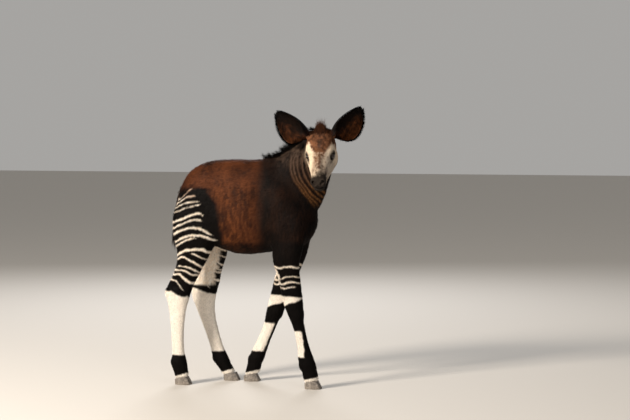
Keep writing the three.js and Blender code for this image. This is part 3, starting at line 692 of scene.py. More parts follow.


# Markings and some painted light and shade, the same for skin and coat, in the animal's own axes

colours = {
    "black": (0.0032, 0.0024, 0.0021),
    "brown": (0.0140, 0.0066, 0.0040),
    "chestnut": (0.026, 0.0085, 0.0042),
    "russet": (0.086, 0.0265, 0.0092),
    "rufous": (0.155, 0.049, 0.0155),
    "cream": (0.75, 0.60, 0.44),
    "white": (0.86, 0.81, 0.74),
    # grey that varies at random over the face and also paints the shade on its left side
    "greyAndShade": (0.26, 0.22, 0.185),
    "face": (0.58, 0.46, 0.34),
    # painted sheen for the top of the neck
    "paintedSheen": (0.135, 0.088, 0.062),
    # painted highlight on the crests of the neck's folds, higher and lower on the neck
    "foldHighlightUpper": (0.10, 0.058, 0.038),
    "foldHighlightLower": (0.21, 0.090, 0.030),
    "forehead": (0.175, 0.057, 0.019),
    "bridge": (0.15, 0.060, 0.025),
    "mottle": (0.11, 0.056, 0.033),
    # painted shade with mottling between the eyes and the muzzle
    "shadeMottleBrown": (0.075, 0.043, 0.028),
    "crown": (0.045, 0.026, 0.018),
    "whorl": (0.05, 0.035, 0.03),
    # painted shade along the bridge
    "bridgeShadeLine": (0.09, 0.045, 0.025),
    "muzzle": (0.0085, 0.0060, 0.0050),
    "lip": (0.035, 0.028, 0.026),
}


def plain(name, count):
    return np.tile(colours[name], (count, 1))



# White stripes: height in mm at five places from the leg's back edge to its front edge, where the stripe
# starts and stops across the leg, and its width
stripePlaces = [-0.9, -0.45, 0, 0.45, 0.9]
haunchStripes = [
    ((866, 908, 918, 905, 890), -1.6, 0.02, 8),
    ((840, 876, 883, 884, 880), -1.6, 0.35, 7),
    ((824, 847, 857, 861, 862), -1.6, 0.55, 4.8),
    ((802, 821, 836, 847, 853), -1.6, 0.60, 3.8),
    ((760, 775, 794, 805, 772), -1.6, 0.72, 8.5),
    ((731, 752, 771, 773, 742), -1.6, 0.62, 7),
    ((703, 724, 739, 731, 700), -1.6, 0.96, 9),
    ((668, 688, 701, 699, 683), -1.6, 1.16, 8),
    ((648, 670, 687, 688, 676), -1.6, 0.30, 5.5),
    ((607, 628, 636, 638, 623), -1.6, 1.60, 11),
    ((620, 621, 619, 606, 591), -0.10, 1.60, 5),
    ((588, 600, 587, 573, 552), -1.6, 1.60, 7),
    ((552, 558, 554, 542, 528), -0.80, 1.60, 5),
    ((535, 539, 534, 522, 515), -1.6, 1.60, 6.5),
    ((516, 520, 504, 487, 476), -1.6, 1.30, 9.5),
    ((492, 486, 468, 443, 428), -1.3, 0.60, 5),
]
armStripes = [
    ((566, 560, 566, 567, 560), -1.6, 1.60, 8),
    ((507, 512, 519, 521, 516), -1.1, 1.60, 4),
    ((488, 486, 494, 497, 490), -1.6, 1.60, 7),
    ((471, 466, 471, 474, 473), -1.0, 0.70, 5),
]


# Other edges of the legs' markings in mm, given in the same way where there are five
legMarks = {
    "softness": 1.3,
    "hockEdge": (440, 435, 424, 415, 412),
    "kneeBand": (380, 394, 399, 405, 416),
    "kneeBandTop": 428,
    "farKneeBandLower": (26, 12),
    "sock": {"thigh": (47, 139), "arm": (48, 147)},
    "shinTop": {"fore_right": 268, "fore_left": 281},
}


def acrossLeg(forward, heights):
    return curveThrough(np.clip(forward, -1.2, 1.2), stripePlaces, heights)


def stripeMask(stripes, forward, z, wobble):
    soft = legMarks["softness"]
    white = np.zeros(len(z))
    for heights, first, last, width in stripes:
        centre = acrossLeg(forward, heights)
        taper = smooth(first - 0.05, first + 0.25, forward) * (1 - smooth(last - 0.35, last + 0.02, forward))
        half = width / 2 * taper * (1 + 0.22 * wobble)
        gap = np.abs(z - centre - 2.2 * wobble)
        white = np.maximum(white, (1 - smooth(half - soft, half + soft, gap)) * smooth(0, 0.35, taper))
    return white


def thighWhite(z, forward, inner, wobble):
    white = stripeMask(haunchStripes, forward, z, wobble) * smooth(420, 470, z)
    bare = inner * smooth(0.75, 0.45, forward + 0.15 * wobble)
    bare = bare * smooth(448, 462, z) * (1 - smooth(690, 760, z))
    white = np.maximum(white, bare)
    edge = acrossLeg(forward, legMarks["hockEdge"]) + 4 * wobble
    return np.where(z < 452, np.maximum(white, 1 - smooth(edge - 3, edge + 3, z)), white)


def armWhite(name, z, forward, inner, wobble):
    near = name == "fore_right"
    patch = smooth(-0.72, -0.86, forward + 0.1 * wobble) * smooth(484, 490, z) * (1 - smooth(552, 562, z))
    inside = inner * smooth(500, 520, z) * (1 - smooth(560, 575, z)) * smooth(0.4, 0.1, forward)
    white = np.maximum(stripeMask(armStripes, forward, z, wobble), np.maximum(patch, inside))
    lowerLow, lowerTop = (0, 0) if near else legMarks["farKneeBandLower"]
    bandLow = acrossLeg(forward, legMarks["kneeBand"]) - lowerLow
    bandTop = legMarks["kneeBandTop"] - 6 * smooth(0, 1, forward) - lowerTop
    band = smooth(bandLow - 2.5, bandLow + 2.5, z + 2 * wobble) * (1 - smooth(bandTop - 2, bandTop + 2, z))
    white = np.maximum(white, band * (1 - smooth(0.88, 0.98, forward)))
    top = legMarks["shinTop"][name]
    line = np.interp(z, [150, 265], [0.02, 0.45]) if near else np.full(len(z), 0.74)
    shin = 1 - smooth(line - 0.12, line + 0.12, forward + 0.12 * wobble)
    shin = shin * (1 - smooth(top - 4, top + 4, z + 5 * wobble))
    return np.where(z < top + 12, shin, white)


def legColour(name, points, colour):
    upper = legNames[name][0]
    forward, outward = alongLeg(name, points)
    z = points[:, 2] * 1000
    wobble = noise(points, 0.020, 5) + 0.5 * noise(points, 0.008, 6)
    fine = noise(points, 0.006, 8)
    inner = smooth(0.05, -0.35, outward)
    if upper == "thigh":
        white = thighWhite(z, forward, inner, wobble)
        dark = smooth(960, 905, z - 14 * forward) * smooth(1.5, 1.15, forward)
    else:
        white = armWhite(name, z, forward, inner, wobble)
        dark = smooth(600, 470, z)
    tone = mixTo(colour, colours["black"], dark)
    low, top = legMarks["sock"][upper]
    slope = z - 9 * forward + 2 * fine
    sock = smooth(low - 2, low + 2, slope) * (1 - smooth(top - 2.5, top + 2.5, z + 3 * wobble))
    foot = np.minimum(np.maximum(white, 1 - smooth(low, low + 4, slope)), 1 - sock)
    white = np.where(z < top + 12, foot, white)
    if upper == "arm":
        front = smooth(0.55, 0.8, forward) * smooth(60, 75, z) * (z < 300)
        white = white * (1 - front * (1 if name == "fore_right" else 0.85))
    creamy = 0.28 + (0.25 + 0.4 * fine) * smooth(400, 480, z)
    pale = mixTo(plain("white", len(z)), colours["cream"], creamy)
    pale = mixTo(pale, colours["rufous"], 0.75 * smooth(850, 900, z) * (upper == "thigh"))
    return tone + (pale - tone) * white[:, None]


def trunkColour(points):
    x, y, z = points.T
    wide = noise(points, 0.05, 1)
    bent = points + 0.010 * np.stack([noise(points, 0.045, 51), noise(points, 0.045, 52), 0 * x], 1)
    fine = 0.65 * noise(bent * [1, 1, 0.14], 0.0070, 2) + 0.5 * noise(bent * [1, 1, 0.2], 0.0032, 7)
    fine = fine * (1 - 0.45 * smooth(0.90, 0.99, z))
    base = plain("chestnut", len(x)) * (1 + 0.45 * wide + 0.5 * fine)[:, None]
    croup = (1 - smooth(0.14, 0.30, x)) * smooth(0.885, 0.96, z)
    base = mixTo(base, colours["russet"], croup * (0.55 + 0.5 * fine + 0.45 * wide))
    streak = smooth(-0.05, 0.55, fine + 0.35 * wide) * smooth(0.09, 0.18, x) * (1 - smooth(0.33, 0.40, x))
    streak = streak * (1 - 0.45 * smooth(0.24, 0.32, x)) * (1 - 0.70 * smooth(0.86, 0.98, z))
    base = mixTo(base, colours["russet"], 0.50 * smooth(0.10, 0.20, x) * (1 + 0.6 * wide))
    base = mixTo(base, colours["rufous"], 0.52 * streak)
    base = mixTo(base, colours["brown"], 0.62 * smooth(0.05, 0.55, -fine - 0.35 * wide))
    groin = smooth(0.00, 0.06, x) * (1 - smooth(0.12, 0.20, x))
    groin = groin * smooth(0.90, 0.84, z) * smooth(0.60, 0.68, z)
    base = mixTo(base, colours["black"], 0.93 * groin)
    front = smooth(0.335, 0.395, x + 0.02 * wide + 0.010 * fine)
    dark = mixTo(plain("black", len(x)), colours["brown"], 0.28 + 0.45 * wide + 0.5 * fine)
    base = mixTo(base, dark, 0.96 * front)
    belly = smooth(0.655, 0.63, z - 0.04 * np.abs(y) / 0.12)
    base = mixTo(base, colours["black"], 0.75 * belly)
    spine = smooth(0.050, 0.012, np.abs(y) + 0.01 * wide) * smooth(1.0, 1.04, z)
    return mixTo(base, colours["brown"], 0.7 * spine)


def neckColour(points):
    wide, fine = noise(points, 0.04, 3), noise(points * [1, 1, 0.3], 0.0055, 4)
    base = mixTo(plain("black", len(points)), colours["brown"], 0.25 + 0.35 * wide + 0.5 * fine)
    # painted sheen: lighter grey-brown streaks on the top of the neck just behind the head
    paintedSheen = smooth(-0.23, -0.04, pastJoin(points)) * smooth(1.00, 1.08, points[:, 2]) * (0.5 + 0.8 * fine)
    base = mixTo(base, colours["paintedSheen"], 0.50 * paintedSheen)
    # painted highlight on the crests of the skin folds, warmer and brighter lower on the neck
    low = smooth(1.02, 0.88, points[:, 2])
    pale = mixTo(plain("foldHighlightUpper", len(points)), colours["foldHighlightLower"], low)
    return mixTo(base, pale, 0.85 * neckFold(points))


# Skin folds on the right of the neck, in mm: the first one's line, how far ahead each lies, and their size
neckFolds = {
    "heights": [845, 872, 898, 922, 944, 977, 1013, 1043, 1074],
    "forward": [614, 599, 577, 563, 546, 527, 516, 513, 516],
    "after": [0, 15, 34, 60, 84],
    "width": 4.2,
    "height": 3.0,
}


def neckFold(points):
    # 1 along the crest of each fold
    x, y, z = points.T * 1000
    ahead = x - curveThrough(z, neckFolds["heights"], neckFolds["forward"]) + 2.5 * noise(points, 0.03, 9)
    crest = sum(np.exp(-(((ahead - place) / neckFolds["width"]) ** 2)) for place in neckFolds["after"])
    within = smooth(825, 870, z) * (1 - smooth(1050, 1085, z)) * smooth(22, -30, y)
    return crest * within


def headColour(points):
    h = toHead(points) * 1000
    x, y, z = h.T
    wide, fine, speck = noise(points, 0.020, 11), noise(points, 0.006, 12), noise(points, 0.0095, 13)
    patchy = wide + 0.6 * fine
    base = plain("face", len(x)) * (1 + 0.08 * wide + 0.12 * fine)[:, None]
    # painted light and shade: cream on the face's lit right side, grey on its shaded left, with a little grey
    # that varies at random
    base = mixTo(base, colours["cream"], 0.8 * smooth(-8, -34, y) * (1 - smooth(60, 120, x)))
    base = mixTo(base, colours["greyAndShade"], 0.50 * smooth(10, 34, y) * smooth(-30, 10, x) + 0.12 * wide)
    # forehead, darker in the middle, and its tongue down the bridge
    down = np.maximum(28 - np.where(y < 6, 0.023, 0.029) * (y - 6) ** 2, -44) + 10 * patchy + 8 * speck
    base = mixTo(base, colours["forehead"], 0.94 * smooth(down + 13, down - 13, x) * smooth(0, 18, z))
    crown = smooth(down + 4, down - 14, x) * smooth(5, 25, z)
    base = mixTo(base, colours["brown"], crown * np.clip(0.38 + 0.5 * patchy + 0.45 * speck, 0, 0.92))
    bridge = smooth(26, 12, np.abs(y + 6) + 8 * patchy) * smooth(-10, 10, x)
    bridge = bridge * (1 - smooth(60, 112, x)) * smooth(0, 15, z)
    base = mixTo(base, colours["bridge"], 0.95 * bridge * (0.72 + 0.5 * patchy))
    mottled = smooth(40, 24, np.abs(y - 6)) * smooth(-5, 20, x) * smooth(0, 15, z)
    mottled = mottled * smooth(0.0, 0.8, speck + 0.5 * fine + 0.3 * wide)
    base = mixTo(base, colours["mottle"], 0.80 * mottled)
    # painted shade with mottling: darker brown towards the muzzle on all but the lit right side of the face
    shadeAndMottle = smooth(45, 120, x) * smooth(-44, -20, y) * (0.45 + 0.6 * patchy)
    base = mixTo(base, colours["shadeMottleBrown"], 0.75 * shadeAndMottle)
    middle = np.exp(-(((x + 42) / 40) ** 2 + ((y - 4) / 24) ** 2)) * smooth(20, 40, z)
    base = mixTo(base, colours["crown"], 0.7 * middle * (0.6 + 0.5 * patchy))
    base = mixTo(base, colours["brown"], 0.8 * smooth(-82, -108, x + 8 * wide) * smooth(0, 30, z))
    whorl = np.exp(-((x + 12) ** 2 + (y - 1) ** 2) / 80)
    base = mixTo(base, colours["whorl"], 0.75 * whorl * smooth(30, 45, z))
    # painted shade: a darker line along the bridge, where its lit right side meets its shaded left side
    line = smooth(6.0, 2.0, np.abs(y - 3)) * smooth(-10, 5, x) * (1 - smooth(95, 120, x)) * smooth(10, 20, z)
    base = mixTo(base, colours["bridgeShadeLine"], 0.45 * line * (1 + 0.5 * fine))
    temple = smooth(-60, -86, x - 0.15 * z + 6 * wide) * smooth(44, 22, z)
    base = mixTo(base, colours["brown"], 0.93 * temple)
    jaw = smooth(-52, -74, z + 0.22 * x) * smooth(80, 30, x)
    base = mixTo(base, colours["brown"], 0.75 * jaw)
    for side in (-1, 1):
        gap = np.sqrt(((x - 3) / 1.3) ** 2 + (y - 54 * side) ** 2 + (z - 19) ** 2)
        base = mixTo(base, colours["black"], 0.97 * smooth(23.5, 18.0, gap + 1.5 * fine))
        brow = np.exp(-(((x + 6) / 24) ** 2 + ((y - 50 * side) / 16) ** 2 + ((z - 42) / 9) ** 2))
        base = mixTo(base, colours["cream"], 0.75 * brow * (0.6 + 0.4 * (side > 0)))
        corner = np.exp(-(((x - 30) / 12) ** 2 + ((y - 50 * side) / 12) ** 2 + ((z - 4) / 7) ** 2))
        base = mixTo(base, colours["black"], 0.7 * corner)
    # dark muzzle; its further reach back on the face's shaded left side is painted shade
    muzzle = smooth(118, 143, x + 8 * patchy + 5 * speck + 0.10 * z + 10 * smooth(5, 25, y))
    base = mixTo(base, colours["muzzle"], 0.97 * muzzle)
    lip = np.exp(-(((z + 29.5) / 3.5) ** 2)) * smooth(95, 130, x)
    return mixTo(base, colours["lip"], 0.4 * lip)


def onTail(points):
    # 1 on the tail, 0 off it
    share = np.zeros(len(points))
    some = np.where((points[:, 0] < -0.02) & (np.abs(points[:, 1]) < 0.045) & (points[:, 2] < 0.93))[0]
    if len(some):
        gaps = ((points[some][:, None] - throughPoints(tailLine, 24)[None]) ** 2).sum(-1).min(1) ** 0.5
        share[some] = smooth(0.023, 0.017, gaps)
    return share


def coatColour(points):
    trunk = trunkColour(points)
    z = points[:, 2]
    colour = trunk + (neckColour(points) - trunk) * neckShare(points)[:, None]
    for name, (upper, side) in legNames.items():
        forward = alongLeg(name, points)[0]
        top = (0.93, 0.915) if upper == "thigh" else (0.62, 0.60)
        edge = smooth(1.55, 1.25, forward) if upper == "thigh" else smooth(1.8, 1.4, np.abs(forward))
        share = smooth(top[0], top[1], z) * edge * (points[:, 1] * side > 0)
        some = share > 0.001
        if some.any():
            own = legColour(name, points[some], colour[some])
            colour[some] += (own - colour[some]) * share[some][:, None]
    colour = mixTo(colour, colours["brown"], onTail(points))
    past = pastJoin(points)
    some = past > -0.06
    if some.any():
        near = smooth(-0.005, 0.045, past[some])
        colour[some] += (headColour(points[some]) - colour[some]) * near[:, None]
    return np.clip(colour, 0.0015, 1)


def earColour(sideName, t, s, inside, points):
    # black outside, inside dark with a warm lower half
    fine = noise(points, 0.008, 21)
    base = plain("black", len(t)) * (1.2 + 0.5 * fine)[:, None]
    base = mixTo(base, colours["brown"], 0.5 * inside * smooth(0.98, 0.6, t) * (0.6 + 0.5 * fine))
    warm = smooth(0.94, 0.50, t) * smooth(0.05, 0.80, s + 0.2 * fine) * inside * (0.65 + 0.6 * fine)
    base = mixTo(base, colours["rufous"], ear["warmth"][sideName] * warm)
    return mixTo(base, colours["chestnut"], 0.6 * smooth(0.16, 0.0, t))


# Which way the hair lies

def nearestOnLine(points, line):
    parts = np.array_split(points, max(1, len(points) // 4000))
    return np.concatenate([((part[:, None] - line[None]) ** 2).sum(-1).argmin(1) for part in parts])


def lieOfCoat(points, normals):
    x, y, z = points.T
    flow = np.stack([-np.ones_like(x), 0 * x, -0.18 - 0.5 * smooth(1.0, 0.7, z)], 1)
    haunch = smooth(0.20, 0.05, x) * smooth(0.97, 0.86, z)
    shoulder = smooth(0.36, 0.46, x) * smooth(0.92, 0.80, z)
    flow = flow + (np.array([-0.45, 0, -1]) - flow) * np.maximum(haunch, 0.8 * shoulder)[:, None]
    for name in legNames:
        levels, rows = outlines[name]
        centre = np.stack([(rows[:, 0] + rows[:, 1]) / 2, (rows[:, 2] + rows[:, 3]) / 2, levels], 1)
        slope = np.gradient(centre, levels, axis=0)
        axis = -np.stack([np.interp(z, levels, slope[:, k]) for k in range(3)], 1)
        mine = smooth(0.68, 0.58, z) * (y * legNames[name][1] > 0)
        mine = mine * ((x < 0.33) if legNames[name][0] == "thigh" else (x >= 0.33) | (z < 0.5))
        away = np.abs(x - np.interp(z, levels, centre[:, 0]))
        mine = mine * (away < 0.14)
        flow = flow + (unit(axis) - flow) * mine[:, None]
    line = throughPoints(neckLine, 30)
    toNeck = neckShare(points)
    some = toNeck > 0
    if some.any():
        near = np.clip(nearestOnLine(points[some], line), 1, len(line) - 2)
        axis = -unit(line[near + 1] - line[near - 1]) + [0, 0, -0.35]
        flow[some] += (axis - flow[some]) * toNeck[some][:, None]
    past = headShare(points)
    some = past > 0
    if some.any():
        h = toHead(points[some]) * 1000
        local = np.stack([-np.ones(len(h)), 0.25 * np.sign(h[:, 1]) * smooth(0, 30, np.abs(h[:, 1])),
                          np.where(h[:, 2] < 10, -0.25, 0.1)], 1)
        flow[some] += (unit(local) @ headAxes.T - flow[some]) * past[some][:, None]
    flow = unit(flow) + 0.10 * np.stack([noise(points, 0.03, 31 + k) for k in range(3)], 1)
    return unit(flow - normals * (flow * normals).sum(1, keepdims=True))


# Meshes

def newObject(name, points, faces, material, replaces=()):
    mesh = bpy.data.meshes.new(name)
    faces = np.asarray(faces)
    mesh.vertices.add(len(points))
    mesh.vertices.foreach_set("co", (np.asarray(points) + shift).astype(np.float32).ravel())
    corners = faces.shape[1]
    mesh.loops.add(faces.size)
    mesh.loops.foreach_set("vertex_index", faces.astype(np.int32).ravel())
    mesh.polygons.add(len(faces))
    mesh.polygons.foreach_set("loop_start", np.arange(0, faces.size, corners, dtype=np.int32))
    mesh.polygons.foreach_set("use_smooth", np.ones(len(faces), bool))
    mesh.update(calc_edges=True)
    obj = bpy.data.objects.new(name, mesh)
    bpy.context.scene.collection.objects.link(obj)
    mesh.materials.append(material)
    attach(obj, "root")
    if replaces:
        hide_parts(*replaces)
    return obj


def paint(obj, name, colour):
    layer = obj.data.color_attributes.new(name=name, type="FLOAT_COLOR", domain="POINT")
    full = np.ones((len(colour), 4), np.float32)
    full[:, :3] = colour
    layer.data.foreach_set("color", full.ravel())


# Materials

def shaderOf(material):
    material.use_nodes = True
    return material.node_tree, material.node_tree.nodes["Principled BSDF"]


def addNode(tree, kind, values=None, **settings):
    node = tree.nodes.new(kind)
    for key, value in settings.items():
        setattr(node, key, value)
    for key, value in (values or {}).items():
        node.inputs[key].default_value = value
    return node


def join(tree, *links):
    # from one node's output to the next one's input
    for start, output, end, entry in links:
        tree.links.new(start.outputs[output], end.inputs[entry])


def hairGrainGroup():
    # fine strands and mottling: colour in, colour, roughness and height out
    tree = bpy.data.node_groups.new("hairGrain", "ShaderNodeTree")
    for name, kind, value in (
        ("Tint", "NodeSocketColor", (0.5, 0.5, 0.5, 1)),
        ("Scale", "NodeSocketFloat", 900.0),
        ("Variation", "NodeSocketFloat", 0.25),
        ("Roughness Low", "NodeSocketFloat", 0.38),
        ("Roughness High", "NodeSocketFloat", 0.62),
    ):
        socket = tree.interface.new_socket(name=name, in_out="INPUT", socket_type=kind)
        socket.default_value = value
    for name in ("Color", "Roughness", "Height"):
        kind = "NodeSocketColor" if name == "Color" else "NodeSocketFloat"
        tree.interface.new_socket(name=name, in_out="OUTPUT", socket_type=kind)
    inputs, outputs = addNode(tree, "NodeGroupInput"), addNode(tree, "NodeGroupOutput")
    place = addNode(tree, "ShaderNodeTexCoord")
    fine = addNode(tree, "ShaderNodeTexNoise", {"Detail": 3})
    broad = addNode(tree, "ShaderNodeTexNoise", {"Scale": 60, "Detail": 4})
    both = addNode(tree, "ShaderNodeMath", operation="ADD")
    centred = addNode(tree, "ShaderNodeMath", {1: 1.0}, operation="SUBTRACT")
    scaled = addNode(tree, "ShaderNodeMath", {2: 1.0}, operation="MULTIPLY_ADD")
    tinted = addNode(tree, "ShaderNodeVectorMath", operation="SCALE")
    rough = addNode(tree, "ShaderNodeMapRange")
    join(
        tree,
        (place, "Object", fine, "Vector"), (place, "Object", broad, "Vector"),
        (inputs, "Scale", fine, "Scale"),
        (fine, "Fac", both, 0), (broad, "Fac", both, 1), (both, 0, centred, 0),
        (centred, 0, scaled, 0), (inputs, "Variation", scaled, 1),
        (inputs, "Tint", tinted, 0), (scaled, 0, tinted, "Scale"), (tinted, 0, outputs, "Color"),
        (broad, "Fac", rough, "Value"), (inputs, "Roughness Low", rough, "To Min"),
        (inputs, "Roughness High", rough, "To Max"), (rough, "Result", outputs, "Roughness"),
        (fine, "Fac", outputs, "Height"),
    )
    return tree


hairGrain = hairGrainGroup()


finishes = {
    "undercoat": {"scale": 1400, "variation": 0.24, "rough": (0.60, 0.80), "bump": 0.5},
    "coat hair": {"scale": 700, "variation": 0.22, "rough": (0.44, 0.62), "bump": 0.1},
    "depth": 0.0006,
    "specular": 0.045,
}


def coatMaterial(name):
    finish = finishes[name]
    tree, shader = shaderOf(bpy.data.materials.new(name))
    tint = addNode(tree, "ShaderNodeAttribute", attribute_name="coatTint")
    low, high = finish["rough"]
    grain = tree.nodes.new("ShaderNodeGroup")
    grain.node_tree = hairGrain
    for key, value in (
        ("Scale", finish["scale"]), ("Variation", finish["variation"]),
        ("Roughness Low", low), ("Roughness High", high),
    ):
        grain.inputs[key].default_value = value
    height = addNode(tree, "ShaderNodeBump", {"Strength": finish["bump"], "Distance": finishes["depth"]})
    join(
        tree,
        (tint, "Color", grain, "Tint"), (grain, "Color", shader, "Base Color"),
        (grain, "Roughness", shader, "Roughness"), (grain, "Height", height, "Height"),
        (height, "Normal", shader, "Normal"),
    )
    shader.inputs["Specular IOR Level"].default_value = finishes["specular"]
    return bpy.data.materials[name]


skinMaterial = coatMaterial("undercoat")
furMaterial = coatMaterial("coat hair")

(bodyPoints, bodyQuads), (headPoints, headQuads) = makeSkinSurface()
report(f"skin surface, {len(bodyQuads)} and {len(headQuads)} quads")
earParts = {side: makeEar(side) for side in ("left", "right")}


def pushFolds(points):
    # raises the neck's folds a little out of its surface
    line = throughPoints(neckLine, 60)
    some = np.where((points[:, 0] > 0.48) & (points[:, 1] < 0.03) & (points[:, 2] > 0.82))[0]
    near = line[nearestOnLine(points[some], line)]
    fold = neckFold(points[some])
    points[some] += unit(points[some] - near) * (neckFolds["height"] / 1000 * fold)[:, None]
    return points


bodyPoints = pushFolds(bodyPoints.astype(float))
headPoints = headPoints.astype(float)
skinParts = [(bodyPoints, bodyQuads), (headPoints, headQuads), earParts["left"], earParts["right"]]
offsets = np.cumsum([0] + [len(p) for p, q in skinParts])
skinPoints = np.vstack([p for p, q in skinParts])
skinQuads = np.vstack([q + o for (p, q), o in zip(skinParts, offsets)])
skinColour = coatColour(skinPoints)
for i, side in enumerate(("left", "right")):
    part = slice(offsets[2 + i], offsets[3 + i])
    along, over = earGrid()
    t = np.repeat(along, 2 * len(over))
    s = np.tile(np.concatenate([over, over[::-1]]), len(along))
    inside = np.tile(np.repeat([0.0, 1.0], len(over)), len(along))
    skinColour[part] = earColour(side, t, s, inside, skinPoints[part])
skin = newObject(
    "okapi_skin", skinPoints, skinQuads, skinMaterial,
    fleshNodes + ["tail", "ear_left", "ear_right"],
)
paint(skin, "coatTint", skinColour)
report("skin")


def unwrap(obj):
    obj.data.uv_layers.new(name="OFBake")
    bpy.ops.object.select_all(action="DESELECT")
    obj.select_set(True)
    bpy.context.view_layer.objects.active = obj
    bpy.ops.object.mode_set(mode="EDIT")
    bpy.ops.mesh.select_all(action="SELECT")
    bpy.ops.uv.smart_project(angle_limit=math.radians(66), island_margin=0.001)
    bpy.ops.object.mode_set(mode="OBJECT")


unwrap(skin)
report("unwrap")


def skinTriangles(obj):
    mesh = obj.data
    mesh.calc_loop_triangles()
    count = len(mesh.loop_triangles)
    corners, loops = np.empty(count * 3, np.int32), np.empty(count * 3, np.int32)
    mesh.loop_triangles.foreach_get("vertices", corners)
    mesh.loop_triangles.foreach_get("loops", loops)
    uv = np.empty(len(mesh.loops) * 2, np.float32)
    mesh.uv_layers["OFBake"].data.foreach_get("uv", uv)
    normals = np.empty(len(mesh.vertices) * 3, np.float32)
    mesh.vertices.foreach_get("normal", normals)
    return corners.reshape(-1, 3), uv.reshape(-1, 2)[loops.reshape(-1, 3)], normals.reshape(-1, 3)


triangles, triangleUv, skinNormals = skinTriangles(skin)
random = np.random.default_rng(4207)

# Hair by region: length, width at the root, lift off the skin in mm, and how many to the square metre
coat = {
    "trunk": {"length": 17, "width": 3.0, "lift": 4.2, "density": 62000},
    "neck": {"length": 16, "width": 2.8, "lift": 4.2, "density": 76000},
    "upperLeg": {"length": 12, "width": 2.6, "lift": 3.0, "density": 82000},
    "lowerLeg": {"length": 10, "width": 2.4, "lift": 1.9, "density": 76000},
    "head": {"length": 7, "width": 1.5, "lift": 1.5, "density": 235000},
}


def hairSizes(points):
    z = points[:, 2]
    onHead = headShare(points)
    onNeck = neckShare(points)
    sizes = {}
    for key in ("length", "width", "lift", "density"):
        value = np.full(len(z), float(coat["trunk"][key]))
        value += (coat["neck"][key] - value) * onNeck
        value += (coat["upperLeg"][key] - value) * smooth(0.72, 0.60, z)
        value += (coat["lowerLeg"][key] - value) * smooth(0.44, 0.36, z)
        value += (coat["head"][key] - value) * onHead
        sizes[key] = value
    muzzle = smooth(118, 150, toHead(points)[:, 0] * 1000) * onHead
    sizes["length"] *= 1 - 0.55 * muzzle
    sizes["lift"] *= 1 - 0.6 * muzzle
    return sizes


# One hair: place, rise and sway of its bend, width there, thickness for its width, spread of its shades,
# and half the size of its patch of the unwrap
tuftShape = {
    "bend": 0.45, "rise": 0.72, "sway": 0.35, "waist": 0.84, "thick": 0.22, "shades": 0.28, "patch": 0.0015,
}


def tuftMesh(root, normal, flow, length, width, lift, colourOf, uv, curl=0.12, bare=0.0005):
    # closed three-sided hairs, bent along the lie of the coat, each with its patch of the unwrap
    count = len(root)
    side = unit(np.cross(normal, flow))
    sway = (random.random(count) - 0.5)[:, None] * 2 * curl * side
    length, width, lift = length[:, None], width[:, None], lift[:, None]
    base = root - normal * bare
    middle = root + flow * length * tuftShape["bend"] + normal * lift * tuftShape["rise"]
    middle = middle + sway * length * tuftShape["sway"]
    tip = root + flow * length + normal * lift + sway * length
    half, thick = side * width / 2, normal * width * tuftShape["thick"]
    waist = half * tuftShape["waist"]
    rows = [base - half, base + half, base + thick, middle - waist, middle + waist, middle + thick, tip]
    points = np.stack(rows, 1).reshape(-1, 3)
    pattern = np.array([
        [0, 1, 4], [0, 4, 3], [1, 2, 5], [1, 5, 4], [2, 0, 3],
        [2, 3, 5], [3, 4, 6], [4, 5, 6], [5, 3, 6], [0, 2, 1],
    ])
    faces = (np.arange(count)[:, None, None] * 7 + pattern[None]).reshape(-1, 3)
    shade = 1 + tuftShape["shades"] * (random.random(count)[:, None] - 0.5)
    if callable(colourOf):  # markings stay where they are drawn, however the hairs lie over them
        low, high, end = (colourOf(root + flow * length * share) for share in (0.05, 0.5, 0.95))
    else:
        low = high = end = colourOf
    tints = np.stack([low * shade * 0.75] * 3 + [high * shade] * 3 + [end * shade * 1.1], 1).reshape(-1, 3)
    own = np.stack([-side * 0.5 + normal, side * 0.5 + normal, normal * 1.2] * 2 + [normal + 0.2 * flow], 1)
    spread = np.array([[-1, -1], [1, -1], [0, -0.6], [-0.9, 0.3], [0.9, 0.3], [0, 0.5], [0, 1]])
    patch = (uv[:, None, :] + spread[None] * tuftShape["patch"]).reshape(-1, 2)
    return points, faces, np.clip(tints, 0.001, 1), unit(own.reshape(-1, 3)), patch


def tuftObject(name, parts):
    points, faces, tints, normals, patch = parts
    obj = newObject(name, points, faces, furMaterial)
    paint(obj, "coatTint", tints)
    layer = obj.data.uv_layers.new(name="OFBake")
    layer.data.foreach_set("uv", patch[faces.ravel()].astype(np.float32).ravel())
    obj.data.normals_split_custom_set_from_vertices(normals)
    return obj


def sampleSkin(faceMask):
    # roots spread over the skin as densely as each region asks
    corners = triangles[faceMask]
    uv = triangleUv[faceMask]
    a, b, c = (skinPoints[corners[:, k]] for k in range(3))
    area = np.linalg.norm(np.cross(b - a, c - a), axis=1) / 2
    want = area * hairSizes((a + b + c) / 3)["density"]
    count = np.floor(want + random.random(len(want))).astype(int)
    pick = np.repeat(np.arange(len(corners)), count)
    u, v = random.random(len(pick)), random.random(len(pick))
    over = u + v > 1
    u[over], v[over] = 1 - u[over], 1 - v[over]
    weight = np.stack([1 - u - v, u, v], 1)[..., None]
    root = (skinPoints[corners[pick]] * weight).sum(1)
    normal = unit((skinNormals[corners[pick]] * weight).sum(1))
    return root, normal, (uv[pick] * weight).sum(1)


# Where one piece of coat ends and the next begins, and what stays bare on the head, in metres
coatBorders = {
    "neck": 0.03,
    "legs": 0.62,
    "haunch": 0.16,
    "hindLegs": (0.224, 0.15),
    "eye": (0.0150, 0.0120),
    "eyeGap": 0.0018,
    "nose": (0.155, 0.024, -0.020),
}


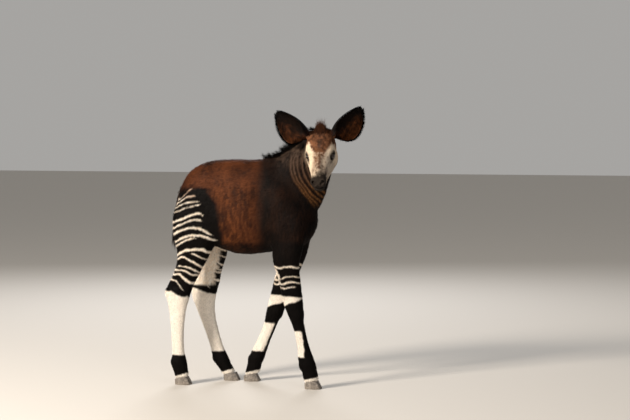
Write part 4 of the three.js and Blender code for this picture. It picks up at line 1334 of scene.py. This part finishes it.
def growCoat():
    centres = skinPoints[triangles].mean(1)
    bodyFaces = (triangles < offsets[2]).all(1)
    onHead = (triangles[:, 0] >= offsets[1]) & bodyFaces
    onNeck = bodyFaces & ~onHead & (pastNeckRoot(centres) > coatBorders["neck"])
    rest = bodyFaces & ~onHead & ~onNeck
    left = centres[:, 1] > 0
    headLeft = toHead(centres)[:, 1] > 0
    high = centres[:, 2] > coatBorders["legs"]
    rear = centres[:, 0] < coatBorders["haunch"]
    atFloor, slant = coatBorders["hindLegs"]
    hind = centres[:, 0] < atFloor + slant * centres[:, 2]
    regions = {"coat_neck": (onNeck, "coat_black")}
    for side, here, headHere in (("right", ~left, ~headLeft), ("left", left, headLeft)):
        regions[f"coat_head_{side}"] = (onHead & headHere, "coat_face")
        regions[f"coat_haunch_{side}"] = (rest & here & rear & high, "coat_striped")
        regions[f"coat_side_{side}"] = (rest & here & ~rear & high, "coat_brown")
        regions[f"coat_leg_hind_{side}"] = (rest & here & hind & ~high, "coat_striped")
        regions[f"coat_leg_fore_{side}"] = (rest & here & ~hind & ~high, "coat_striped")
    for name, (mask, slotName) in regions.items():
        root, normal, uv = sampleSkin(mask)
        flow = lieOfCoat(root, normal)
        keep = np.ones(len(root), bool)
        if "head" in name:  # none over the eyes or on the nose
            h = toHead(root)
            long, high = coatBorders["eye"]
            for side in (-1, 1):
                centre = fromHead(head["eye"] * [1, side, 1])
                for place in (root, root + flow * 0.006):
                    u, v, w = ((place - centre) @ eyeAxes(side)).T
                    keep &= ((u / long) ** 2 + (v / high) ** 2 > 1) | (w < 0)
                keep &= np.linalg.norm(root - centre, axis=1) > head["eyeRadius"] + coatBorders["eyeGap"]
            start, half, low = coatBorders["nose"]
            keep &= ~((h[:, 0] > start) & (np.abs(h[:, 1]) < half) & (h[:, 2] > low))
        root, normal, uv, flow = root[keep], normal[keep], uv[keep], flow[keep]
        sizes = hairSizes(root)
        vary = 1 + 0.35 * (random.random(len(root)) - 0.5)
        ruffle = 1 + 1.3 * random.random(len(root)) ** 6
        tuft = tuftMesh(
            root, normal, flow, sizes["length"] * vary / 1000, sizes["width"] / 1000 * vary,
            sizes["lift"] / 1000 * ruffle, coatColour, uv,
        )
        tuftObject(name, tuft)
        report(f"{name}: {len(tuft[1])} triangles")


growCoat()

# Longer hair: mane, tuft between the ears, tail, ear fringes

longHair = {
    "mane": {"locks": 100, "hairs": 42, "length": 0.046, "spread": 0.0072, "width": 0.0019, "jitter": 0.10},
    "forelock": {"locks": 56, "hairs": 30, "length": 0.058, "spread": 0.009, "width": 0.0012, "jitter": 0.17},
    "tail": {"locks": 16, "hairs": 60, "length": 0.085, "spread": 0.0045, "width": 0.0020, "jitter": 0.05},
    "earFringe": {"count": 2400, "length": 0.014, "width": 0.0010},
    "earCoat": {"count": 3800, "innerShare": 0.45, "length": 0.010, "width": 0.0020},
}


def lockedHair(name, roots, tips, bend, settings, tint):
    # hairs in locks that draw together towards each lock's tip
    each = settings["hairs"]
    lockOf = np.repeat(np.arange(len(roots)), each)
    place = roots[lockOf] + random.normal(0, settings["spread"], (len(lockOf), 3))
    root, uv = nearestSkin(place)
    height = np.linalg.norm(tips - roots, axis=1)[lockOf]
    share = (1 - 0.45 * random.random(len(lockOf)) ** 2)[:, None]
    stray = random.normal(0, settings["jitter"], (len(lockOf), 3)) * height[:, None]
    end = root + (tips[lockOf] - root) * share + stray
    size = np.linalg.norm(end - root, axis=1)
    flow = unit(end - root)
    over = bend[lockOf]
    over = unit(over - flow * (over * flow).sum(1, keepdims=True))
    width = np.full(len(size), settings["width"])
    tuft = tuftMesh(root, over, flow, size, width, size * 0.08, tint[lockOf], uv, 0.06, bare=0.0)
    tuftObject(name, tuft)


def nearestSkin(points, reach=0.03):
    # the skin's point nearest to each given point, and its place on the unwrap
    some = np.where(((skinPoints > points.min(0) - reach) & (skinPoints < points.max(0) + reach)).all(1))[0]
    some = some[some < offsets[2]]
    tree = KDTree(len(some))
    for k, i in enumerate(some):
        tree.insert(skinPoints[i], k)
    tree.balance()
    found = some[[tree.find(p)[1] for p in points]]
    return skinPoints[found], vertexUv[found]


vertexUv = np.zeros((len(skinPoints), 2))
vertexUv[triangles.ravel()] = triangleUv.reshape(-1, 2)


# The crest that the mane grows on: share of the neck's line and height over it, and the way up along it
maneCrest = {
    "start": [0.372, 0, 1.058],
    "heights": [(0.3, 0.136), (0.42, 0.125), (0.55, 0.102), (0.68, 0.086), (0.8, 0.073), (0.92, 0.060)],
    "ways": [
        [-0.75, 0, 0.66], [-0.7, 0, 0.71], [-0.75, 0, 0.66], [-0.76, 0.1, 0.63],
        [-0.68, 0.32, 0.66], [-0.5, 0.5, 0.7], [-0.3, 0.6, 0.74],
    ],
    "stop": 0.93,
}


def maneLine(steps):
    line = throughPoints(neckLine, 101)
    crest = [maneCrest["start"]]
    for share, up in maneCrest["heights"]:
        i = int(share * 100)
        along = unit(line[min(i + 2, 100)] - line[i - 2])
        way = curveThrough(np.array([share]), np.linspace(0, 1, 7), maneCrest["ways"])[0]
        crest.append(line[i] + unit(way - along * (way @ along)) * up)
    return throughPoints(np.array(crest), steps)


def growMane():
    settings = longHair["mane"]
    line = maneLine(200)
    count = settings["locks"]
    pick = (np.arange(count) + random.random(count)) / count * maneCrest["stop"]
    ends = np.linspace(0, 1, len(line))
    place = curveThrough(pick, ends, line)
    ahead, behind = np.minimum(pick + 0.01, 1), np.maximum(pick - 0.01, 0)
    along = unit(curveThrough(ahead, ends, line) - curveThrough(behind, ends, line))
    side = unit(np.cross(along, [0, 0, 1]))
    roots = place + side * random.normal(0, 0.004, count)[:, None]
    up = unit(np.cross(side, along))
    lean = 0.15 + 0.55 * random.random(count)
    rise = unit(up - along * lean[:, None] + side * random.normal(0, 0.14, count)[:, None])
    height = settings["length"] * (0.75 + 0.25 * smooth(0.0, 0.35, pick))
    height = height * (0.65 + 0.55 * random.random(count))
    dark = mixTo(plain("black", count), colours["brown"], 0.35 * random.random(count))
    tips = roots + rise * height[:, None]
    lockedHair("mane", roots, tips, -along, settings, dark)


def growForelock():
    settings = longHair["forelock"]
    count = settings["locks"]
    across = random.uniform(-0.028, 0.042, count)
    back = random.uniform(-0.112, -0.080, count)
    roots = fromHead(np.stack([back, across, 0.080 - 12 * across**2], 1))
    aside = (across - 0.006) * 10 + random.normal(0, 0.18, count)
    spread = np.stack([random.uniform(-0.95, -0.30, count), aside, np.ones(count)], 1)
    rise = unit(unit(spread) @ headAxes.T)
    height = settings["length"] * (0.22 + 0.78 * np.exp(-(((across - 0.006) / 0.017) ** 2)))
    height = height * (0.6 + 0.4 * random.random(count))
    dark = mixTo(plain("brown", count), colours["rufous"], 0.28 * random.random(count))
    bend = np.tile(headAxes[:, 0], (count, 1))
    tips = roots + rise * height[:, None]
    lockedHair("forelock", roots, tips, bend, settings, dark)


def growTail():
    settings = longHair["tail"]
    count = settings["locks"]
    line = throughPoints(tailLine, 101)
    pick = (66 + 34 * np.arange(count) / count).astype(int)
    angle = np.arange(count) * 2.4
    out = np.stack([np.cos(angle), np.sin(angle), 0 * angle], 1)
    roots = line[pick] + out * 0.003
    height = np.minimum(settings["length"] * (0.8 + 0.3 * random.random(count)), (roots[:, 2] - 0.626))
    tips = roots + (np.array([0, 0, -1.0]) + out * 0.06) * height[:, None]
    dark = mixTo(plain("black", count), colours["brown"], 0.6 * random.random(count))
    lockedHair("tail_tuft", roots, tips, out, settings, dark)


def earTufts(sideName, part):
    settings = longHair["earFringe" if part == "fringe" else "earCoat"]
    inner, fringe = part == "inside", part == "fringe"
    count = int(settings["count"] * settings["innerShare"]) if inner else settings["count"]
    t = random.uniform(0.0, 0.985, count)
    s = random.uniform(-0.97, 0.97, count)
    if fringe:
        s = np.sign(random.random(count) - 0.5) * random.uniform(0.93, ear["edge"], count)
    lift = np.full(count, ear["skin"] / 2 * (-1 if inner else 1))
    root = earPoints(sideName, t, s, lift)
    flow = unit(earPoints(sideName, t + 0.01, s, lift) - root)
    cross = unit(earPoints(sideName, t, s + 0.01, lift) - root)
    above = earPoints(sideName, t, s, np.full(count, 0.004))
    outward = unit(above - earPoints(sideName, t, s, np.zeros(count)))
    normal = -outward if inner else outward
    if inner:
        flow = unit(flow - cross * (0.8 * s)[:, None] + 0.25 * random.normal(0, 1, (count, 3)))
    if fringe:  # turns from across the edge to along it at the ear's tip
        stray = 0.25 * random.normal(0, 1, (count, 3))
        tipward = 0.55 + 2.2 * smooth(0.72, 0.98, t)[:, None]
        flow = unit(flow * tipward + cross * np.sign(s)[:, None] + stray)
    flow = unit(flow - normal * (flow * normal).sum(1, keepdims=True))
    size = settings["length"] * (0.7 + 0.6 * random.random(count)) * (1.35 if inner else 1)
    size = size * (1 - (0.20 if fringe else 0.55) * smooth(0.7, 1.0, t))
    tint = earColour(sideName, t, s, np.full(count, float(inner)), root)
    if fringe:
        tint = mixTo(tint * 0.6, colours["brown"], 0.25 * random.random(count))
    rows, across = ear["grid"]
    (start, end), edge = ear["ends"], ear["edge"]
    row = np.clip(((t - start) / (end - start) * (rows - 1)).round().astype(int), 0, rows - 1)
    column = np.clip(((s + edge) / (2 * edge) * (across - 1)).round().astype(int), 0, across - 1)
    if inner:
        column = 2 * across - 1 - column
    uv = vertexUv[offsets[2 if sideName == "left" else 3] + row * 2 * across + column]
    height = (0.004 if inner else 0.0016) * (0.6 + 0.8 * random.random(count))
    width = np.full(count, settings["width"])
    return tuftMesh(root, normal, flow, size, width, height, tint, uv, 0.2, bare=0.0002)


def growEars():
    for sideName in ("left", "right"):
        parts = [earTufts(sideName, part) for part in ("outside", "inside", "fringe")]
        starts = np.cumsum([0] + [len(p[0]) for p in parts])
        joined = [np.vstack([p[k] for p in parts]) for k in range(5)]
        joined[1] = np.vstack([p[1] + o for p, o in zip(parts, starts)])
        tuftObject(f"ear_hair_{sideName}", joined)


growMane()
growForelock()
growTail()
growEars()
report("long hair")

# Eyes

eye = {
    "gap": 0.0006,
    "bulge": 0.0012,
    "rings": 40,
    "segments": 56,
    "iris": (0.030, 0.013, 0.006),
    "pupil": (0.003, 0.003, 0.004),
    "irisEdge": (0.012, 0.007, 0.005),
    "corner": (0.10, 0.07, 0.06),
}
lash = {"count": 70, "length": 0.0095, "width": 0.0005, "across": 0.0125, "up": 0.0088, "reach": 0.0178}


def eyeMaterial():
    material = bpy.data.materials.new("eye")
    tree, shader = shaderOf(material)
    tint = addNode(tree, "ShaderNodeAttribute", attribute_name="eyeTint")
    fibres = addNode(tree, "ShaderNodeTexNoise", {"Scale": 900})
    mix = addNode(tree, "ShaderNodeMix", data_type="RGBA", blend_type="MULTIPLY")
    mix.inputs["Factor"].default_value = 0.5
    join(
        tree,
        (tint, "Color", mix, "A"), (fibres, "Color", mix, "B"), (mix, "Result", shader, "Base Color"),
    )
    for key, value in (
        ("Roughness", 0.06), ("Specular IOR Level", 0.25), ("Coat Weight", 0.4), ("Coat Roughness", 0.02),
    ):
        shader.inputs[key].default_value = value
    return material


wetEye = eyeMaterial()


def makeEye(sideName):
    side = 1 if sideName == "left" else -1
    rings, segments = eye["rings"], eye["segments"]
    ball = head["eyeRadius"] - eye["gap"]
    polar = np.linspace(0, np.pi, rings + 1)[1:-1]
    around = np.arange(segments) * 2 * np.pi / segments
    pp, aa = np.meshgrid(polar, around, indexing="ij")
    bulge = eye["bulge"] * smooth(0.0125, 0.004, np.sin(pp) * head["eyeRadius"]) * (np.cos(pp) > 0)
    local = np.stack([np.sin(pp) * np.cos(aa), np.sin(pp) * np.sin(aa), np.cos(pp)], -1)
    local = local * (ball + bulge)[..., None]
    points = np.vstack([[[0, 0, ball + eye["bulge"]]], local.reshape(-1, 3), [[0, 0, -ball]]])
    last = 1 + (rings - 2) * segments
    quads = 1 + ringQuads(rings - 1, segments)[:, [0, 3, 2, 1]]
    faces = np.vstack([halves(quads), fan(0, 1, segments), fan(len(points) - 1, last, segments, flip=True)])
    lx, ly = points[:, 0] * 1000, points[:, 1] * 1000
    r = np.hypot(lx, ly)
    front = points[:, 2] > 0
    pupil = smooth(1.0, 0.8, np.sqrt((lx / 6.2) ** 2 + (ly / 3.2) ** 2))
    tint = np.tile(eye["iris"], (len(points), 1))
    tint = mixTo(tint, eye["pupil"], pupil * front)
    tint = mixTo(tint, eye["irisEdge"], smooth(9.0, 11.5, r))
    tint = mixTo(tint, eye["corner"], 0.6 * smooth(13.0, 13.8, r) * front)
    place = points @ eyeAxes(side).T + fromHead(head["eye"] * [1, side, 1])
    obj = newObject(f"eyeball_{sideName}", place, faces, wetEye, [f"eye_{sideName}"])
    paint(obj, "eyeTint", tint)


def makeLashes(sideName):
    side = 1 if sideName == "left" else -1
    axes = eyeAxes(side)
    ahead, lift, outward = axes[:, 0], upperLid(axes), axes[:, 2]
    centre = fromHead(head["eye"] * [1, side, 1])
    count = lash["count"]
    share = np.linspace(-0.95, 0.95, count) + random.normal(0, 0.01, count)
    height = lash["up"] * np.sqrt(1 - share**2)
    depth = np.sqrt(lash["reach"] ** 2 - (share * lash["across"]) ** 2 - height**2)
    root = centre + np.outer(share * lash["across"], ahead)
    root = root + np.outer(height, lift) + np.outer(depth, outward)
    flow = unit(outward * 0.8 + lift * 0.25 + np.outer(share * 0.5, ahead))
    size = lash["length"] * (0.8 + 0.3 * random.random(count))
    uv = np.tile([0.5, 0.5], (count, 1)) + share[:, None] * 0.1
    bend = unit(lift - np.outer(flow @ lift, 1) * flow)
    width = np.full(count, lash["width"])
    tint = plain("black", count)
    tuft = tuftMesh(root, bend, flow, size, width, size * 0.35, tint, uv, 0.08, bare=0.0)
    tuftObject(f"lashes_{sideName}", tuft)


for sideName in ("left", "right"):
    makeEye(sideName)
    makeLashes(sideName)
report("eyes")

# Hooves: two toes to a foot

hooves = {
    "length": 0.0728, "half": 0.0141, "spread": 0.0155, "coronet": 0.0335, "slope": 12,
    "segments": 44,
    "levels": (0, 0.04, 0.11, 0.22, 0.35, 0.50, 0.65, 0.80, 0.93, 1),
    "heights": (0, 0.004, 0.02, 0.06),
    "front": (0.55, 0.56, 0.42, 0.10),
    "back": (0.43, 0.45, 0.46, 0.50),
    "feet": {  # forward and sideways in mm, turn in degrees
        "hind_right": (-8, -94, -3), "hind_left": (172, 90, 3),
        "fore_right": (616, -66, -4), "fore_left": (273, 90, 2),
    },
}


def hoofMaterial():
    material = bpy.data.materials.new("hoof horn")
    tree, shader = shaderOf(material)
    place = addNode(tree, "ShaderNodeTexCoord")
    split = addNode(tree, "ShaderNodeSeparateXYZ")
    rings = addNode(
        tree, "ShaderNodeTexWave", {"Scale": 75, "Distortion": 2.5, "Detail": 3},
        wave_type="BANDS", bands_direction="Z",
    )
    mottle = addNode(tree, "ShaderNodeTexNoise", {"Scale": 130, "Detail": 6})
    ramp = addNode(tree, "ShaderNodeValToRGB")
    for stop, position, colour in zip(
        ramp.color_ramp.elements, (0.30, 0.75), ((0.060, 0.050, 0.042, 1), (0.30, 0.26, 0.22, 1))
    ):
        stop.position, stop.color = position, colour
    dust = addNode(
        tree, "ShaderNodeMapRange", {"From Min": 0.0, "From Max": 0.022, "To Min": 0.55, "To Max": 0.0}
    )
    mix = addNode(tree, "ShaderNodeMix", data_type="RGBA")
    mix.inputs["B"].default_value = (0.20, 0.165, 0.13, 1)
    rough = addNode(tree, "ShaderNodeMapRange", {"To Min": 0.32, "To Max": 0.62})
    bump = addNode(tree, "ShaderNodeBump", {"Strength": 0.4, "Distance": 0.0006})
    join(
        tree,
        (place, "Object", split, 0), (place, "Object", rings, "Vector"),
        (place, "Object", mottle, "Vector"),
        (mottle, "Fac", ramp, "Fac"), (split, "Z", dust, "Value"), (dust, "Result", mix, "Factor"),
        (ramp, "Color", mix, "A"), (mix, "Result", shader, "Base Color"),
        (mottle, "Fac", rough, "Value"), (rough, "Result", shader, "Roughness"),
        (rings, "Fac", bump, "Height"), (bump, "Normal", shader, "Normal"),
    )
    return material


horn = hoofMaterial()


def makeToe(foot, label, side):
    x0, y0, turn = hooves["feet"][foot]
    length, half, levels = hooves["length"], hooves["half"], hooves["levels"]
    rise = math.tan(math.radians(hooves["slope"]))
    count = hooves["segments"]
    angle = np.arange(count) * 2 * np.pi / count
    c, s = np.cos(angle), np.sin(angle)
    taper = np.where(c > 0, 1 - 0.35 * c, 1)
    flat = np.where(s * side < 0, 0.86, 1.0)  # flatter where the toes face each other
    rings = []
    for level in levels:
        z = level * hooves["coronet"]
        front, back = (length * np.interp(z, hooves["heights"], hooves[key]) for key in ("front", "back"))
        wide = half * (1 - 2 * z) * (0.965 if z == 0 else 1)
        ripple = 1 + 0.008 * np.sin(z * 900) * (z > 0.004)
        forward = c * np.where(c > 0, front, back) * ripple
        sideways = np.sign(s) * np.abs(s) ** 0.85 * wide * taper * flat * ripple
        rings.append(np.stack([forward, sideways, level * (hooves["coronet"] + rise * forward)], 1))
    bottom, top = rings[0].mean(0), rings[-1].mean(0)
    points = np.vstack(rings + [bottom[None], top[None]])
    body = len(levels) * count
    faces = np.vstack([
        halves(ringQuads(len(levels), count)),
        fan(body, 0, count, flip=True),
        fan(body + 1, body - count, count),
    ])
    points[:, 1] += side * hooves["spread"]
    turned = points @ np.array(Matrix.Rotation(math.radians(turn), 3, "Z")).T
    place = turned + [x0 / 1000, y0 / 1000, 0]
    newObject(f"hoof_{foot}_{label}", place, faces, horn, [f"{foot}_toe_{label}"])


for foot in hooves["feet"]:
    for label, side in (("left", 1), ("right", -1)):
        makeToe(foot, label, side)
report("hooves")

# Floor, light and camera

studio = {
    "camera": np.array([2.662, -7.659, 1.25]),
    "yaw": 15.0,
    "focalPixels": 1712.0,
    "horizon": 118.0,
    "imageSize": (630, 420),
    "floor": (0.55, 0.52, 0.48, 1),
    "floorHalf": 30.0,
    "world": (0.83, 0.81, 0.78, 1),
    "worldStrength": 0.46,
    "aim": (0, 0, 0.75),
    "lamps": {  # place, power, size, colour
        "key": ((-3.4, -4.6, 3.4), 680, 1.4, (1.0, 0.91, 0.80)),
        "fill": ((4.5, -4.5, 2.8), 60, 3.0, (0.96, 0.97, 1.0)),
        "rim": ((-1.5, 4.5, 3.6), 160, 2.0, (0.96, 0.97, 1.0)),
    },
}


def makeStudio():
    scene = bpy.context.scene
    mesh = bpy.data.meshes.new("floor")
    size = studio["floorHalf"]
    corners = [(-size, -size, 0), (size, -size, 0), (size, size, 0), (-size, size, 0)]
    mesh.from_pydata(corners, [], [(0, 1, 2, 3)])
    floor = bpy.data.objects.new("floor", mesh)
    scene.collection.objects.link(floor)
    material = bpy.data.materials.new("pale floor")
    shader = shaderOf(material)[1]
    shader.inputs["Base Color"].default_value = studio["floor"]
    shader.inputs["Roughness"].default_value = 0.9
    mesh.materials.append(material)
    world = scene.world or bpy.data.worlds.new("studio")
    scene.world = world
    world.use_nodes = True
    sky = world.node_tree.nodes["Background"]
    sky.inputs["Color"].default_value = studio["world"]
    sky.inputs["Strength"].default_value = studio["worldStrength"]
    for name, (place, power, size, colour) in studio["lamps"].items():
        lamp = bpy.data.lights.new(name, "AREA")
        lamp.energy, lamp.size, lamp.color = power, size, colour
        obj = bpy.data.objects.new(name, lamp)
        obj.location = place
        obj.rotation_euler = (Vector(studio["aim"]) - Vector(place)).to_track_quat("-Z", "Y").to_euler()
        scene.collection.objects.link(obj)
    scene.view_settings.view_transform = "Standard"


def makeCamera():
    data = bpy.data.cameras.new("camera")
    width, height = studio["imageSize"]
    data.sensor_width = 36
    data.lens = studio["focalPixels"] / width * data.sensor_width
    yaw = math.radians(studio["yaw"])
    pitch = math.atan((height / 2 - studio["horizon"]) / studio["focalPixels"])
    look = Vector((-math.sin(yaw) * math.cos(pitch), math.cos(yaw) * math.cos(pitch), -math.sin(pitch)))
    camera = bpy.data.objects.new("camera", data)
    camera.location = studio["camera"] + shift
    camera.rotation_euler = look.to_track_quat("-Z", "Y").to_euler()
    bpy.context.scene.collection.objects.link(camera)
    bpy.context.scene.camera = camera


makeStudio()
makeCamera()
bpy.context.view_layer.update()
report("done")
